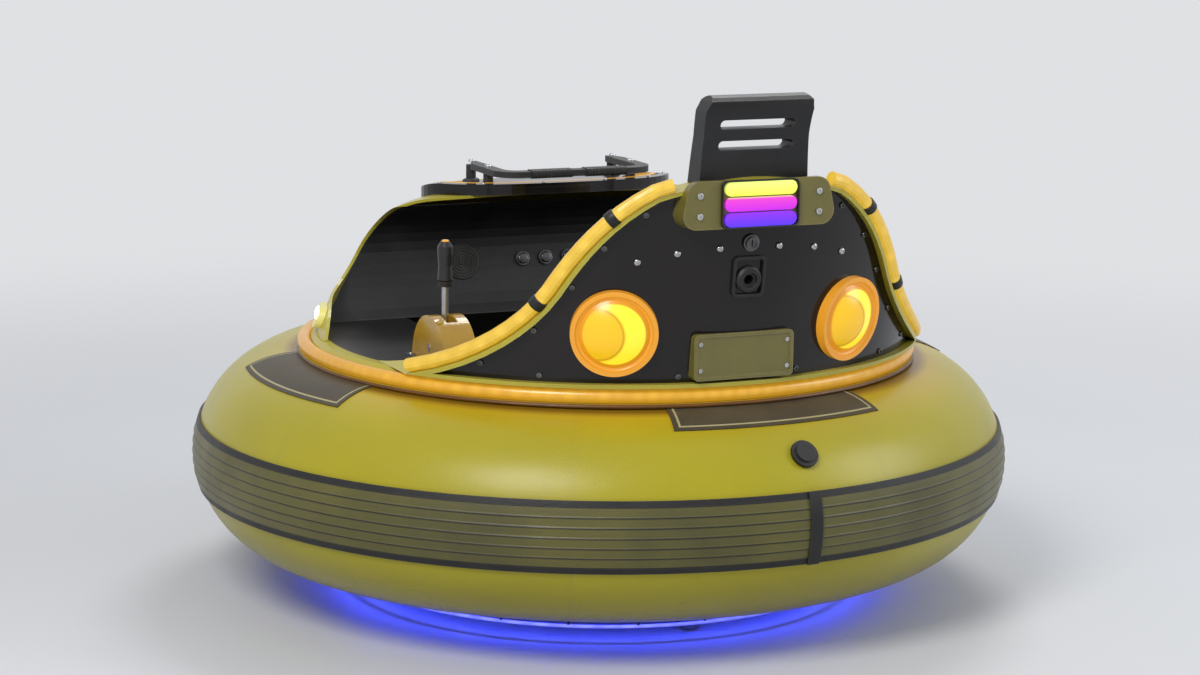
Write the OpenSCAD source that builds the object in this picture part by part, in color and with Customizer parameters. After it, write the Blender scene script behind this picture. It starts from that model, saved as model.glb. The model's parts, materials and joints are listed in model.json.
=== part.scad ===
// Fairground bumper car for an adult and a child, on an inflatable ring, steered by two levers.
// Millimetres. +Y is forwards, +X is to the right, +Z is up, and the floor is z = 0.

/* [Bumper ring] */
// Outer radius of the car, over the ribs of the rubbing band
ring_r = 875; // [860:1:900]
// Radius of the round section of the inflated tube
tube_r = 215; // [208:1:219]
// Height of the middle of the tube above the floor
tube_z = 297; // [292:1:302]
// Half height of the rubbing band
band_half = 58; // [50:1:75]
// Thickness of the rubbing band
band_t = 5; // [4:0.1:6]
// Height of a rib on the band
rib_h = 1.5; // [1:0.1:2.5]
// Number of ribs on the band
rib_count = 5; // [3:1:7]
// Height of the dark welt above and below the band
welt_w = 12; // [8:1:16]
// Thickness of a patch on the crest of the tube
patch_t = 1.7; // [1:0.1:2]
// Half the angle that a patch takes up around the ring
patch_half = 18; // [16:0.5:24]
// Angle by which the ring is turned on the car, seen from above
ring_turn = 5; // [0:1:8]
// Radius of the valve cap
valve_r = 28; // [20:1:34]

/* [Body deck] */
// How far the axis of the body lies behind the middle of the ring
body_back = 30; // [20:1:40]
// Thickness of the moulded body
wall = 6; // [4:0.5:8]
// Height of the top of the deck above its outer flange
deck_h = 37.7; // [35:0.1:42]
// Radius of the light strip around the rim
rim_r = 645; // [638:1:650]
// Radius of the section of the light strips
strip_r = 14; // [11:0.5:15]
// Half the angle of the gap that the rim strip leaves for the nose
nose_half = 20; // [16:1:24]
// Room between the cockpit well and each drive wheel
wheel_room = 55; // [50:1:70]
// Room between the corners of the foot well and the skirt
well_room = 17; // [12:1:30]
// Radius of the corners of the well in plan
well_corner = 150; // [140:2:180]
// Height of the floor of the foot well
floor_z = 171; // [171:0.5:180]
// Height of the bench under the seat cushion
bench_z = 300; // [296:1:320]
// Forward edge of the bench
bench_front = 60; // [40:1:80]
// Rear edge of the bench
bench_rear = -314; // [-322:1:-306]
// Angle of the backrest behind the vertical
recline = 28.5; // [26:0.5:30]

/* [Rear shell] */
// Radius of the back of the shell at the height of the deck
back_r = 663; // [658:1:668]
// Angle at which the back flares outwards
flare = 7.4; // [5:0.1:9]
// Thickness of the side wings of the shell
wing_t = 60; // [45:1:70]
// Depth of the dark rear panel behind the edge of the shell
panel_in = 18; // [12:1:22]
// Width of the border between the light strip and the panel
border_w = 8; // [5:0.5:12]
// Height of the crown of the arch above the deck
arch_h = 430; // [415:1:440]
// Height of the middle of the round rear lamps above the deck
lamp_h = 117; // [108:1:124]
// Angle of each rear lamp from the centreline
lamp_turn = 22.7; // [21:0.1:24]
// Outer radius of the rim of a rear lamp
lamp_r = 86; // [78:1:88]
// Height of the light bracket
bracket_h = 94; // [88:1:100]
// Width of the headrest
headrest_w = 236; // [210:2:250]
// Height of the top of the headrest above the deck
headrest_h = 576; // [560:2:590]

/* [Hood] */
// Radius of the foot of the hood
hood_foot = 617; // [610:1:619]
// Angle at which the side of the hood leans inwards
hood_lean = 21; // [19:0.5:23]
// Radius of the shoulder of the hood
shoulder_r = 200; // [170:5:215]
// Height of the crown of the hood above the deck
hood_h = 281; // [270:1:288]
// Middle of the visor, forward of the middle of the ring
visor_y = 305; // [295:1:310]
// Half width of the visor
visor_hw = 290; // [270:2:300]
// Half length of the visor
visor_hl = 175; // [165:1:180]
// Thickness of the visor
visor_t = 16; // [12:1:20]
// Height of the rim of the visor above its skin
visor_rim = 8; // [6:1:9]
// Height of the middle of the grab bar above the deck
grab_h = 321; // [316:1:328]
// Thickness of the grab bar
grab_t = 14; // [10:0.5:16]

/* [Levers] */
// Distance of each lever from the centreline
lever_x = 455; // [450:1:462]
// Place of the levers along the car
lever_y = -250; // [-256:1:-240]
// Radius of the half-round lever housing
housing_r = 95; // [88:1:98]
// Width of the lever housing
housing_w = 70; // [64:1:74]
// Height of the lever above its pivot
lever_h = 215; // [190:1:230]

/* [Running gear] */
// Radius of a drive wheel
wheel_r = 100; // [95:1:105]
// Width of a drive wheel
wheel_w = 50; // [40:1:56]
// Room between the ring beam and each drive wheel
wheel_gap = 64.7; // [58:0.1:70]
// Radius of a drive axle
axle_r = 10; // [8:0.5:12]
// Radius of a caster wheel
caster_r = 50; // [46:1:52]
// Width of a caster wheel
caster_w = 36; // [30:1:38]
// Room between the ring beam and a caster wheel as it swivels
caster_gap = 7.7; // [6:0.1:12]
// Trail of the casters
trail = 32; // [26:1:34]
// Outer radius of the skirt that holds the tube
skirt_r = 555; // [552:1:558]
// Height of the frame beams
beam_h = 35; // [30:1:36]
// Width of the frame beams
beam_w = 30; // [25:1:32]
// Room between each rail and its drive wheel
rail_gap = 105; // [95:1:110]

/* [Hidden] */
$fn = 180;
seat = 0.3;        // gap between a piece and the piece that it rests on
run = 0.05;        // radial clearance of a turning pin
FAR = 1200;
HALF = 180;

ring_mid_r = ring_r - rib_h - band_t - seat - tube_r;
flange_z = tube_z + tube_r + seat + patch_t + seat;
deck_z = flange_z + deck_h;
strip_z = flange_z + wall + seat + strip_r;
edge_r = rim_r - strip_r - seat;
strip_gap = 0.4;
foot_z = deck_z + seat;
back_slope = tan(flare);
panel_t = 5;

skirt_t = 5;
frame_r = skirt_r - skirt_t - seat - beam_w;
wheel_x = frame_r - wheel_gap - wheel_w / 2;
caster_y = frame_r - caster_gap - trail - caster_r;
rail_x = wheel_x - wheel_w / 2 - rail_gap;
well_w = 2 * (wheel_x - wheel_w / 2 - wheel_room);
well_reach = skirt_r - skirt_t - well_room - wall - well_corner;
well_front = well_corner + sqrt(pow(well_reach, 2) - pow(well_w / 2 - well_corner, 2));

// Shared forms

function unit(v) = v / norm(v);
function bez(p, t) = pow(1 - t, 3) * p[0] + 3 * t * pow(1 - t, 2) * p[1]
    + 3 * t * t * (1 - t) * p[2] + pow(t, 3) * p[3];
function bez_dir(p, t) = unit(pow(1 - t, 2) * (p[1] - p[0])
    + 2 * t * (1 - t) * (p[2] - p[1]) + t * t * (p[3] - p[2]));
function curve(p, n) = [for (i = [0 : n]) bez(p, i / n)];
function mirrored(pts) = [for (i = [len(pts) - 1 : -1 : 0]) [-pts[i].x, pts[i].y]];
function dir(a) = [cos(a), sin(a)];

module at_body() translate([0, -body_back, 0]) children();

// What stands on the deck is drawn with its heights above the deck
module on_deck() translate([0, 0, foot_z]) children();

// A revolved section that runs half an angle to each side of a direction
module arc_sweep(middle, half)
    rotate([0, 0, middle - half]) rotate_extrude(angle = 2 * half) children();

// Children drawn in (y, z) and drawn out along X
module across(half_width)
    translate([-half_width, 0, 0]) rotate([90, 0, 90]) linear_extrude(2 * half_width) children();

// Children drawn in (x, z) and drawn out along Y from y0 to y1
module along(y0, y1)
    translate([0, y1, 0]) rotate([90, 0, 0]) linear_extrude(y1 - y0) children();

module rounded(x, y0, y1, r) {
    translate([-x, y0 + r]) square([2 * x, y1 - y0 - 2 * r]);
    translate([r - x, y0]) square([2 * x - 2 * r, y1 - y0]);
    for (sx = [-1, 1]) {
        translate([sx * (x - r), y0 + r]) circle(r);
        translate([sx * (x - r), y1 - r]) circle(r);
    }
}

module stadium(length, height) {
    square([length - height, height], center = true);
    for (s = [-1, 1]) translate([s * (length - height) / 2, 0]) circle(height / 2);
}

module both_sides() {
    children();
    mirror([1, 0, 0]) children();
}

// Bumper ring

module skin(lo, hi, a0, a1)
    translate([ring_mid_r, tube_z]) intersection() {
        difference() {
            circle(tube_r + hi);
            circle(tube_r + lo);
        }
        polygon([[0, 0], FAR * dir(a0), FAR * dir((a0 + a1) / 2), FAR * dir(a1)]);
    }

module tube() color("olivedrab")
    rotate_extrude() intersection() {
        translate([ring_mid_r, tube_z]) circle(tube_r);
        translate([skirt_r + seat, tube_z - tube_r]) square(2 * tube_r);
    }

band_a = asin(band_half / tube_r);
welt_a = asin((band_half + seat + welt_w) / tube_r);
welt_gap = asin((band_half + seat) / tube_r);

band_steps = 6 * (rib_count + 1);   // short flats across the band, a rib on every sixth
band_inner = [for (i = [band_steps : -1 : 0]) (tube_r + seat) * dir(band_a * (2 * i / band_steps - 1))];
band_outer = [for (i = [0 : band_steps])
    (tube_r + seat + band_t + (i > 0 && i < band_steps && i % 6 == 0 ? rib_h : 0))
        * dir(band_a * (2 * i / band_steps - 1))];

module rub_band() color("khaki")
    rotate_extrude() translate([ring_mid_r, tube_z]) polygon(concat(band_inner, band_outer));

module band_welts() color("black") {
    rotate_extrude() {
        skin(seat, seat + band_t, welt_gap, welt_a);
        skin(seat, seat + band_t, -welt_a, -welt_gap);
    }
    // The joint of the band, under a dark bar near the rear
    arc_sweep(270 + ring_turn, 0.9) skin(2 * seat + band_t + rib_h, 3 * seat + band_t + rib_h + 1.5, -welt_a, welt_a);
}

// Angles on the round section where the patches end, the inner one clear of the skirt
patch_in = acos((skirt_r + 44.6 - ring_mid_r) / tube_r);
patch_out = patch_in - 45;

module tube_patches() color("dimgray")
    for (a = [0 : 90 : 270]) arc_sweep(a + ring_turn, patch_half) skin(seat, seat + patch_t, patch_out, patch_in);

valve_a = 39;       // angle on the round section

module valve_cap() color("black")
    rotate([0, 0, ring_turn]) translate([0, -ring_mid_r, tube_z]) rotate([90 - valve_a, 0, 0])
        translate([0, 0, tube_r + seat]) {
            cylinder(r = valve_r, h = 8);
            cylinder(r = valve_r * 0.72, h = 13);
        }

// Body deck with the cockpit well

function back_y(z) = bench_rear - tan(recline) * (z - bench_z);

module well(t, top_z)
    intersection() {
        linear_extrude(top_z)
            rounded(well_w / 2 + t, -well_front - t, well_front + t, well_corner + t);
        across(well_w)
            polygon([[back_y(bench_z) - t / cos(recline), bench_z - t], [bench_front - t, bench_z - t],
                [bench_front - t, floor_z - t], [well_front + t, floor_z - t], [well_front + t, top_z],
                [back_y(top_z) - t / cos(recline), top_z]]);
    }

flange_in = skirt_r - 40;

module body_deck() color("yellowgreen")
    difference() {
        union() {
            at_body() rotate_extrude()
                polygon([[flange_in, flange_z], [rim_r + 11, flange_z], [rim_r + 11, flange_z + wall],
                    [edge_r, flange_z + wall], [edge_r, deck_z - 9], [edge_r - 9, deck_z], [0, deck_z],
                    [0, deck_z - wall], [edge_r - 11.5, deck_z - wall], [edge_r - wall, deck_z - 11.5],
                    [edge_r - wall, flange_z + wall], [flange_in, flange_z + wall]]);
            well(wall, deck_z - wall / 2);
        }
        well(0, deck_z + wall);
    }

module rim_strip() color("orange")
    at_body() arc_sweep(270, HALF - nose_half)
        translate([rim_r, strip_z]) circle(strip_r);

module floor_mat() color("black")
    translate([0, 0, floor_z + seat]) linear_extrude(4)
        rounded(well_w / 2 - 30, bench_front + 15, well_front - 30, well_corner - 30);

module seat_cushion() color("dimgray")
    translate([0, 0, bench_z + seat]) linear_extrude(58)
        rounded(well_w / 2 - 18, bench_rear + 8, bench_front - 6, 45);

module back_cushion() color("dimgray")
    translate([0, bench_rear, bench_z]) rotate([recline, 0, 0])
        along(seat, 45) polygon([[-250, 76], [250, 76], [262, 110], [262, 270], [205, 620], [190, 636],
            [-190, 636], [-205, 620], [-262, 270], [-262, 110]]);

// Rear shell under the lit arch

arch_curves = [
    [[606, 4], [508, 42], [422, 114], [379, 192]],
    [[379, 192], [353, 244], [306, arch_h - 92], [204, arch_h - 36]],
    [[204, arch_h - 36], [160, arch_h - 20.5], [80, arch_h], [0, arch_h]]];
arch_steps = 9;

function arch_side(inset) = [for (c = arch_curves) for (i = [0 : arch_steps - 1])
    let (t = i / arch_steps, d = bez_dir(c, t)) bez(c, t) + inset * [-d.y, d.x]];
function back_at(z) = back_r + back_slope * z;
function seat_line(z) = back_y(foot_z + z);
BELOW = -50;
ABOVE = arch_h + 70;

module arch_face(inset, foot) {
    side = concat(arch_side(inset), [[0, arch_h - inset]]);
    intersection() {
        polygon(concat([[side[0].x, BELOW]], side, mirrored([for (i = [0 : len(side) - 2]) side[i]]),
            [[-side[0].x, BELOW]]));
        translate([-FAR, foot]) square(2 * FAR);
    }
}

module back_cone(grow, z0, z1)
    at_body() rotate_extrude()
        polygon([[0, z0], [back_at(z0) + grow, z0], [back_at(z1) + grow, z1], [0, z1]]);

// Children face outwards from the back, square to its flared surface
module on_back(turn, z, grow)
    at_body() rotate([0, 0, turn]) translate([0, -back_at(z) - grow, z]) rotate([90 + flare, 0, 0])
        children();

shell_inset = strip_r + strip_gap;
panel_inset = shell_inset + border_w;
port_h = 218;
port_r = 27;
pocket = 45;

module rear_shell() color("yellowgreen")
    on_deck() difference() {
        intersection() {
            back_cone(0, 0, arch_h);
            along(-FAR, -150) arch_face(shell_inset, 0);
        }
        intersection() {
            back_cone(-wing_t, BELOW, ABOVE);
            across(FAR) polygon([[seat_line(BELOW), BELOW], [0, BELOW], [0, ABOVE], [seat_line(ABOVE), ABOVE]]);
        }
        difference() {
            along(-FAR, -150) arch_face(panel_inset, border_w);
            back_cone(-panel_in - panel_t - seat, BELOW, ABOVE);
        }
        for (s = [-1, 1]) on_back(s * lamp_turn, lamp_h, -panel_in - pocket)
            cylinder(r = lamp_r + seat, h = FAR / 4);
        on_back(0, port_h, -panel_in - pocket) cylinder(r = port_r + seat, h = FAR / 4);
    }

module rear_panel() color("black")
    on_deck() difference() {
        intersection() {
            back_cone(-panel_in, 0, arch_h);
            along(-FAR, -150) arch_face(panel_inset + seat, border_w + seat);
        }
        back_cone(-panel_in - panel_t, BELOW, ABOVE);
        for (s = [-1, 1]) on_back(s * lamp_turn, lamp_h, -panel_in - pocket)
            cylinder(r = lamp_r + seat, h = FAR / 4);
        on_back(0, port_h, -panel_in - pocket) cylinder(r = port_r + seat, h = FAR / 4);
    }

// The strip follows the arch, just inside the flared surface
strip_in = 6;
strip_sides = 12;
strip_cut = 165;    // half the gap that the strip leaves for the bracket

function lifted(p) = [p.x, -body_back - sqrt(pow(back_at(p.y) - strip_in, 2) - p.x * p.x), p.y];
arch_points = [for (p = arch_side(0))
    if (p.y > strip_z - foot_z + 2 * strip_r + 2 && p.x > strip_cut) lifted(p)];

function along_dir(pts, i) = unit(pts[min(i + 1, len(pts) - 1)] - pts[max(i - 1, 0)]);
function ring_at(pts, i, r, n) =
    let (d = along_dir(pts, i), u = unit(cross(d, [0, 1, 0])), v = cross(d, u))
    [for (k = [0 : n - 1]) pts[i] + r * (cos(360 * k / n) * u + sin(360 * k / n) * v)];

module sweep(pts, r, n) {
    m = len(pts);
    points = [for (i = [0 : m - 1]) each ring_at(pts, i, r, n)];
    sides = [for (i = [0 : m - 2]) for (k = [0 : n - 1])
        [i * n + k, i * n + (k + 1) % n, (i + 1) * n + (k + 1) % n, (i + 1) * n + k]];
    ends = [[for (k = [n - 1 : -1 : 0]) k], [for (k = [0 : n - 1]) (m - 1) * n + k]];
    polyhedron(points, concat(sides, ends));
}

module arch_strip() color("orange")
    on_deck() both_sides() sweep(arch_points, strip_r, strip_sides);

module lamp_bezels() color("silver")
    on_deck() for (s = [-1, 1]) on_back(s * lamp_turn, lamp_h, -panel_in - pocket + seat)
        rotate_extrude() difference() {
            translate([lamp_r - 16, 0]) square([16, pocket + 14]);
            translate([lamp_r - 16, pocket + 14]) circle(7);
        }

module lamp_lenses() color("gold")
    on_deck() for (s = [-1, 1]) on_back(s * lamp_turn, lamp_h, -panel_in - pocket + seat)
        intersection() {
            cylinder(r = lamp_r - 16 - seat, h = pocket + 40);
            translate([0, 0, pocket + 32 - 110]) sphere(110);
        }

plate_w = 216;
plate_z0 = 14;
plate_z1 = 106;

module plate() color("yellowgreen")
    on_deck() difference() {
        along(-body_back - back_at(plate_z1) + panel_in - 6, -back_r + 60)
            translate([0, (plate_z0 + plate_z1) / 2]) rotate(90)
                rounded((plate_z1 - plate_z0) / 2, -plate_w / 2, plate_w / 2, 10);
        back_cone(-panel_in + seat, BELOW, ABOVE);
        along(-FAR, -body_back - back_at(plate_z1) + panel_in - 4)
            translate([0, (plate_z0 + plate_z1) / 2]) rotate(90)
                rounded((plate_z1 - plate_z0) / 2 - 7, 7 - plate_w / 2, plate_w / 2 - 7, 6);
    }

module charge_port() color("black")
    on_deck() on_back(0, port_h, -panel_in - pocket + seat)
        rotate_extrude() polygon([[0, 0], [port_r, 0], [port_r, pocket + 6], [port_r - 4, pocket + 10],
            [16, pocket + 10], [14, pocket + 4], [10, pocket + 4], [10, 20], [0, 20]]);

bracket_z = arch_h - 110;
bracket_corner = 28;
bracket_y = body_back + back_at(bracket_z) + 13.5;

module light_bracket() color("yellowgreen")
    on_deck() difference() {
        along(-bracket_y, -bracket_y + 100) hull($fn = 32) {
            for (s = [-1, 1]) {
                translate([s * 134, bracket_z + bracket_corner]) circle(bracket_corner);
                translate([s * 126, bracket_z + bracket_h - bracket_corner]) circle(bracket_corner);
            }
        }
        back_cone(-panel_in + seat, BELOW, ABOVE);
        difference() {
            back_cone(seat, BELOW, ABOVE);
            along(-FAR, -150) arch_face(panel_inset + seat, BELOW);
        }
    }

bar_count = 3;
bar_pitch = 30;
bar_h = 27;

module light_bar() color("magenta")
    on_deck() for (i = [0 : bar_count - 1])
        translate([0, -bracket_y - seat, bracket_z + bracket_h / 2 + (i - 1) * bar_pitch])
            along(-7, 0) stadium(154, bar_h);

// Side view of the headrest, as (y, z), from where it stands on the seat's back
head_z = arch_h - 38;
head_y = seat_line(head_z);
headrest_front = curve([[head_y - 2, head_z], [head_y - 14, headrest_h - 100],
    [head_y - 24, headrest_h - 50], [head_y - 42, headrest_h - 8]], 8);
headrest_crown = curve([[head_y - 42, headrest_h - 8], [head_y - 56, headrest_h + 3],
    [head_y - 76, headrest_h + 4], [head_y - 92, headrest_h - 10]], 5);
headrest_back = curve([[head_y - 92, headrest_h - 10], [head_y - 70, headrest_h - 42],
    [head_y - 60, headrest_h - 80], [head_y - 56, head_z]], 8);
headrest_side = [[0.5 * headrest_w, head_z - 20], [0.48 * headrest_w, headrest_h - 80],
    [0.49 * headrest_w, headrest_h - 30], [0.46 * headrest_w, headrest_h - 10],
    [0.4 * headrest_w, headrest_h + 10]];
slot_drops = [98, 57];      // the slots' distance below the top

module headrest() color("black")
    on_deck() difference() {
        intersection() {
            across(headrest_w) polygon(concat(headrest_front, headrest_crown, headrest_back));
            along(-FAR, 0) polygon(concat(headrest_side, mirrored(headrest_side)));
        }
        along(-FAR, 0) arch_face(shell_inset - seat, BELOW);
        for (d = slot_drops) translate([0, 0, headrest_h - d]) along(-FAR, 0) stadium(160, 18);
    }

// Hood, turned about the axis of the body and cut to the cockpit

side_n = dir(hood_lean);
crown_n = dir(88.2);
shoulder_det = side_n.x * crown_n.y - crown_n.x * side_n.y;
side_k = side_n * [hood_foot, 0] - shoulder_r;
crown_k = crown_n * [0, hood_h] - shoulder_r;
shoulder_c = [(side_k * crown_n.y - crown_k * side_n.y) / shoulder_det,
    (side_n.x * crown_k - crown_n.x * side_k) / shoulder_det];

module hood_section(grow, z0) {
    r = shoulder_r + grow;
    foot = (side_n * shoulder_c + r - side_n.y * z0) / side_n.x;
    top = (crown_n * shoulder_c + r) / crown_n.y;
    difference() {
        polygon([[0, z0], [foot, z0], shoulder_c + r * (side_n + crown_n) / (1 + side_n * crown_n), [0, top]]);
        difference() {
            polygon([shoulder_c, shoulder_c + 2 * r * side_n, shoulder_c + 2 * r * (side_n + crown_n),
                shoulder_c + 2 * r * crown_n]);
            translate(shoulder_c) circle(r);
        }
    }
}

// The layer between two offsets of the hood's outer surface, clear of its axis
hood_in = 120;

module hood_layer(lo, hi, z0)
    difference() {
        hood_section(hi, z0);
        hood_section(lo, z0 - 5);
        translate([-1, 0]) square([hood_in + 1, FAR]);
    }

module hood_skin(lo, hi, z0, half = 70) at_body() arc_sweep(90, half) hood_layer(lo, hi, z0);

// The same layer on the nose alone, forward of the visor
module nose_skin(lo, hi, z0, half, turn = 0)
    at_body() arc_sweep(90 + turn, half) difference() {
        hood_layer(lo, hi, z0);
        translate([-1, 0]) square([460, FAR]);
    }

// Rear edge of the hood, and of the low sill that runs back from it beside the deck, as (y, z)
cut_upper = [[195, 254], [300, 240], [322, 193], [315, 138]];
cut_lower = [[315, 138], [308, 96], [272, 74], [200, 70]];
cut_sill = [[200, 70], [130, 67], [80, 54], [40, 4]];

module hood() color("yellowgreen")
    on_deck() intersection() {
        hood_skin(-wall, 0, 0, 86);
        across(FAR) polygon(concat([[FAR, BELOW], [FAR, FAR], [cut_upper[0].x, FAR]], curve(cut_upper, 8),
            [for (c = [cut_lower, cut_sill]) for (i = [1 : 6]) bez(c, i / 6)], [[cut_sill[3].x, BELOW]]));
    }

module oval(inset)
    translate([0, visor_y]) polygon([for (a = [0 : 6 : 354])
        [(visor_hw - inset) * cos(a), (visor_hl - inset) * sin(a)]]);

skin_z = 68;        // where the visor's layers start

module visor() color("black")
    on_deck() intersection() {
        hood_skin(seat, visor_t, skin_z);
        translate([0, 0, skin_z + 20]) linear_extrude(hood_h) oval(0);
    }

module visor_trim() color("black")
    on_deck() intersection() {
        hood_skin(visor_t + seat, visor_t + seat + visor_rim, skin_z);
        translate([0, 0, skin_z + 20]) linear_extrude(hood_h) difference() {
            oval(0);
            oval(22);
        }
    }

module visor_strips() color("orange")
    on_deck() intersection() {
        hood_skin(visor_t + seat, visor_t + seat + 8, skin_z);
        translate([0, 0, skin_z + 20]) linear_extrude(hood_h) difference() {
            oval(30);
            oval(42);
        }
    }

nose_arch = 62;     // half width of the recess in the nose

module nose_panel() color("yellowgreen") {
    on_deck() difference() {
        nose_skin(seat, 6, 0, 0.6 * nose_half - 0.2);
        translate([0, 0, BELOW]) linear_extrude(FAR) oval(-0.6);
        // Arched recess in the middle of the nose
        intersection() {
            along(400, 800) polygon(concat([[-nose_arch, 23], [nose_arch, 23]],
                [for (a = [0 : 12 : 180]) [0, 103] + nose_arch * dir(a)]));
            nose_skin(3.2, 20, -10, 0.5 * nose_half);
        }
    }
    at_body() arc_sweep(90, 0.6 * nose_half - 0.2) nose_lip();
}

// The nose's panel and bands run on over the rim, where the light strip leaves its gap
module nose_lip()
    polygon([[edge_r + seat, flange_z + wall + seat], [rim_r + 7, flange_z + wall + seat],
        [rim_r + 7, deck_z - 6], [rim_r - 4, deck_z], [edge_r + seat, deck_z]]);

// The bands widen along the visor's rim towards the top
band_edge = [[216, 552], [204, 505], [206, 440], [262, 393]];

module nose_bands() color("white") {
    for (s = [-1, 1]) at_body() arc_sweep(90 + s * 0.8 * nose_half, 0.2 * nose_half - 0.4) nose_lip();
    on_deck() for (s = [0, 1]) mirror([s, 0, 0]) difference() {
        nose_skin(seat, 9, 0, 20, -0.6 * nose_half - 20);
        translate([0, 0, BELOW]) linear_extrude(FAR) oval(-0.6);
        translate([0, 0, BELOW]) linear_extrude(FAR) polygon(concat([[FAR, 640], [230, 640]],
            curve(band_edge, 6), [[200, 380], [200, 0], [FAR, 0]]));
    }
}

dash_t = 7;
dash_lower = [[315, 138], [305, 88], [292, 38], [255, 0]];
dash_line = concat(curve(cut_upper, 8), [for (i = [1 : 6]) bez(dash_lower, i / 6)]);

module dash_panel() color("black")
    on_deck() intersection() {
        across(hood_foot) polygon(concat(dash_line,
            [for (i = [len(dash_line) - 1 : -1 : 0]) dash_line[i] + [dash_t, 0]]));
        at_body() rotate_extrude() hood_section(-wall - seat, 0);
    }

grab_hw = 184;
grab_w = 28;
grab_rear = 118;
grab_front = 342;

module grab_bar() color("dimgray") on_deck() {
    translate([0, 0, grab_h - grab_t / 2]) linear_extrude(grab_t) difference() {
        rounded(grab_hw, grab_rear, grab_front, 56);
        rounded(grab_hw - grab_w, grab_rear + grab_w, grab_front + 100, 30);
        translate([grab_w - grab_hw, grab_front - 60]) square([2 * (grab_hw - grab_w), 100]);
    }
    for (s = [-1, 1]) for (y = [228, 330]) difference() {
        translate([s * (grab_hw - grab_w / 2), y, grab_h - 63]) cylinder(r = 11, h = 63);
        hood_skin(-20, visor_t + seat, skin_z);
    }
}

// A pair of lamps on the skin of the hood, at an angle from the axle's direction
module lamp_pair(a, length, height, z)
    on_deck() for (turn = [a, HALF - a]) intersection() {
        at_body() arc_sweep(turn, 9) hood_layer(seat, 14, 5);
        at_body() rotate([0, 0, turn]) translate([450, 0, z])
            rotate([90, 0, 90]) linear_extrude(250) stadium(length, height);
    }

module side_lamps() color("gold") lamp_pair(19, 100, 44, 34);
module head_lamps() color("gold") lamp_pair(50, 108, 44, 40);

// Steering levers, one at each side of the seat

pivot_z = foot_z + 30;
pin_r = 8;

module lever_housing() color("orange")
    translate([lever_x, lever_y, foot_z]) difference() {
        intersection() {
            rotate([0, 90, 0]) cylinder(r = housing_r, h = housing_w, center = true);
            translate([-FAR, -FAR, 0]) cube([2 * FAR, 2 * FAR, FAR]);
        }
        rotate([0, 90, 0]) cylinder(r = housing_r - 4, h = housing_w - 8, center = true);
        translate([-12.5, -41, housing_r - 30]) cube([25, 82, 60]);
        translate([0, 0, pivot_z - foot_z]) rotate([0, 90, 0])
            cylinder(r = pin_r + run, h = 2 * housing_w, center = true);
    }

module lever() color("dimgray")
    translate([lever_x, lever_y, pivot_z]) {
        rotate([0, 90, 0]) cylinder(r = 17, h = housing_w - 12, center = true);
        rotate([0, 90, 0]) cylinder(r = pin_r, h = housing_w + 2, center = true);
        cylinder(r = 7, h = lever_h - 60);
        rotate_extrude() polygon([[0, lever_h - 85], [11, lever_h - 85], [16, lever_h - 78],
            [14, lever_h - 50], [16, lever_h - 25], [16, lever_h - 10], [9, lever_h], [0, lever_h]]);
    }

module lever_housing_left() mirror([1, 0, 0]) lever_housing();
module lever_housing_right() lever_housing();
module lever_left() mirror([1, 0, 0]) lever();
module lever_right() lever();

// Frame and running gear

beam_z = floor_z - wall - seat - beam_h;
cross_y = caster_y - 85;

module chassis_frame() color("slategray")
    translate([0, 0, beam_z]) {
        rotate_extrude() translate([frame_r, 0]) square([beam_w, beam_h]);
        intersection() {
            cylinder(r = frame_r + beam_w / 2, h = beam_h);
            union() {
                for (s = [-1, 1]) {
                    translate([s * rail_x - beam_w / 2, -FAR / 2, 0]) cube([beam_w, FAR, beam_h]);
                    translate([-FAR / 2, s * cross_y - beam_w / 2, 0]) cube([FAR, beam_w, beam_h]);
                }
            }
        }
    }

skirt_z = 70;
skirt_foot = 30;

module skirt() color("black")
    rotate_extrude() polygon([[skirt_r - skirt_foot, skirt_z], [skirt_r, skirt_z], [skirt_r, flange_z - seat],
        [skirt_r - skirt_t, flange_z - seat], [skirt_r - skirt_t, skirt_z + skirt_t],
        [skirt_r - skirt_foot, skirt_z + skirt_t]]);

module underglow() color("blue")
    rotate_extrude() translate([skirt_r - 25, skirt_z - seat - 8]) square([15, 8]);

bracket_x = wheel_x - wheel_w / 2 - 23;

module wheel_bracket() {
    translate([rail_x + beam_w / 2 + seat, -40, beam_z + 5])
        cube([bracket_x - rail_x - beam_w / 2 - seat + 12, 80, 12]);
    translate([bracket_x, -40, wheel_r - 40]) cube([12, 80, beam_z + 17 - wheel_r + 40]);
    translate([bracket_x + 6, 0, wheel_r]) rotate([0, 90, 0])
        cylinder(r = axle_r, h = wheel_x + wheel_w / 2 + 5 - bracket_x - 6);
    translate([wheel_x + wheel_w / 2 - 3 + seat, 0, wheel_r]) rotate([0, 90, 0])
        cylinder(r = axle_r + 6, h = 7, $fn = 6);
}

module wheel_brackets() color("slategray") both_sides() wheel_bracket();

module tyre()
    translate([wheel_x, 0, wheel_r]) rotate([0, 90, 0]) rotate_extrude()
        difference() {
            polygon([[70, -wheel_w / 2 + 4], [74, -wheel_w / 2], [wheel_r - 9, -wheel_w / 2],
                [wheel_r - 3, -wheel_w / 2 + 5], [wheel_r, -wheel_w / 2 + 12], [wheel_r, wheel_w / 2 - 12],
                [wheel_r - 3, wheel_w / 2 - 5], [wheel_r - 9, wheel_w / 2], [74, wheel_w / 2],
                [70, wheel_w / 2 - 4]]);
            for (s = [-1, 1]) translate([wheel_r - 4, s * 7 - 1.5]) square([8, 3]);
        }

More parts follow.
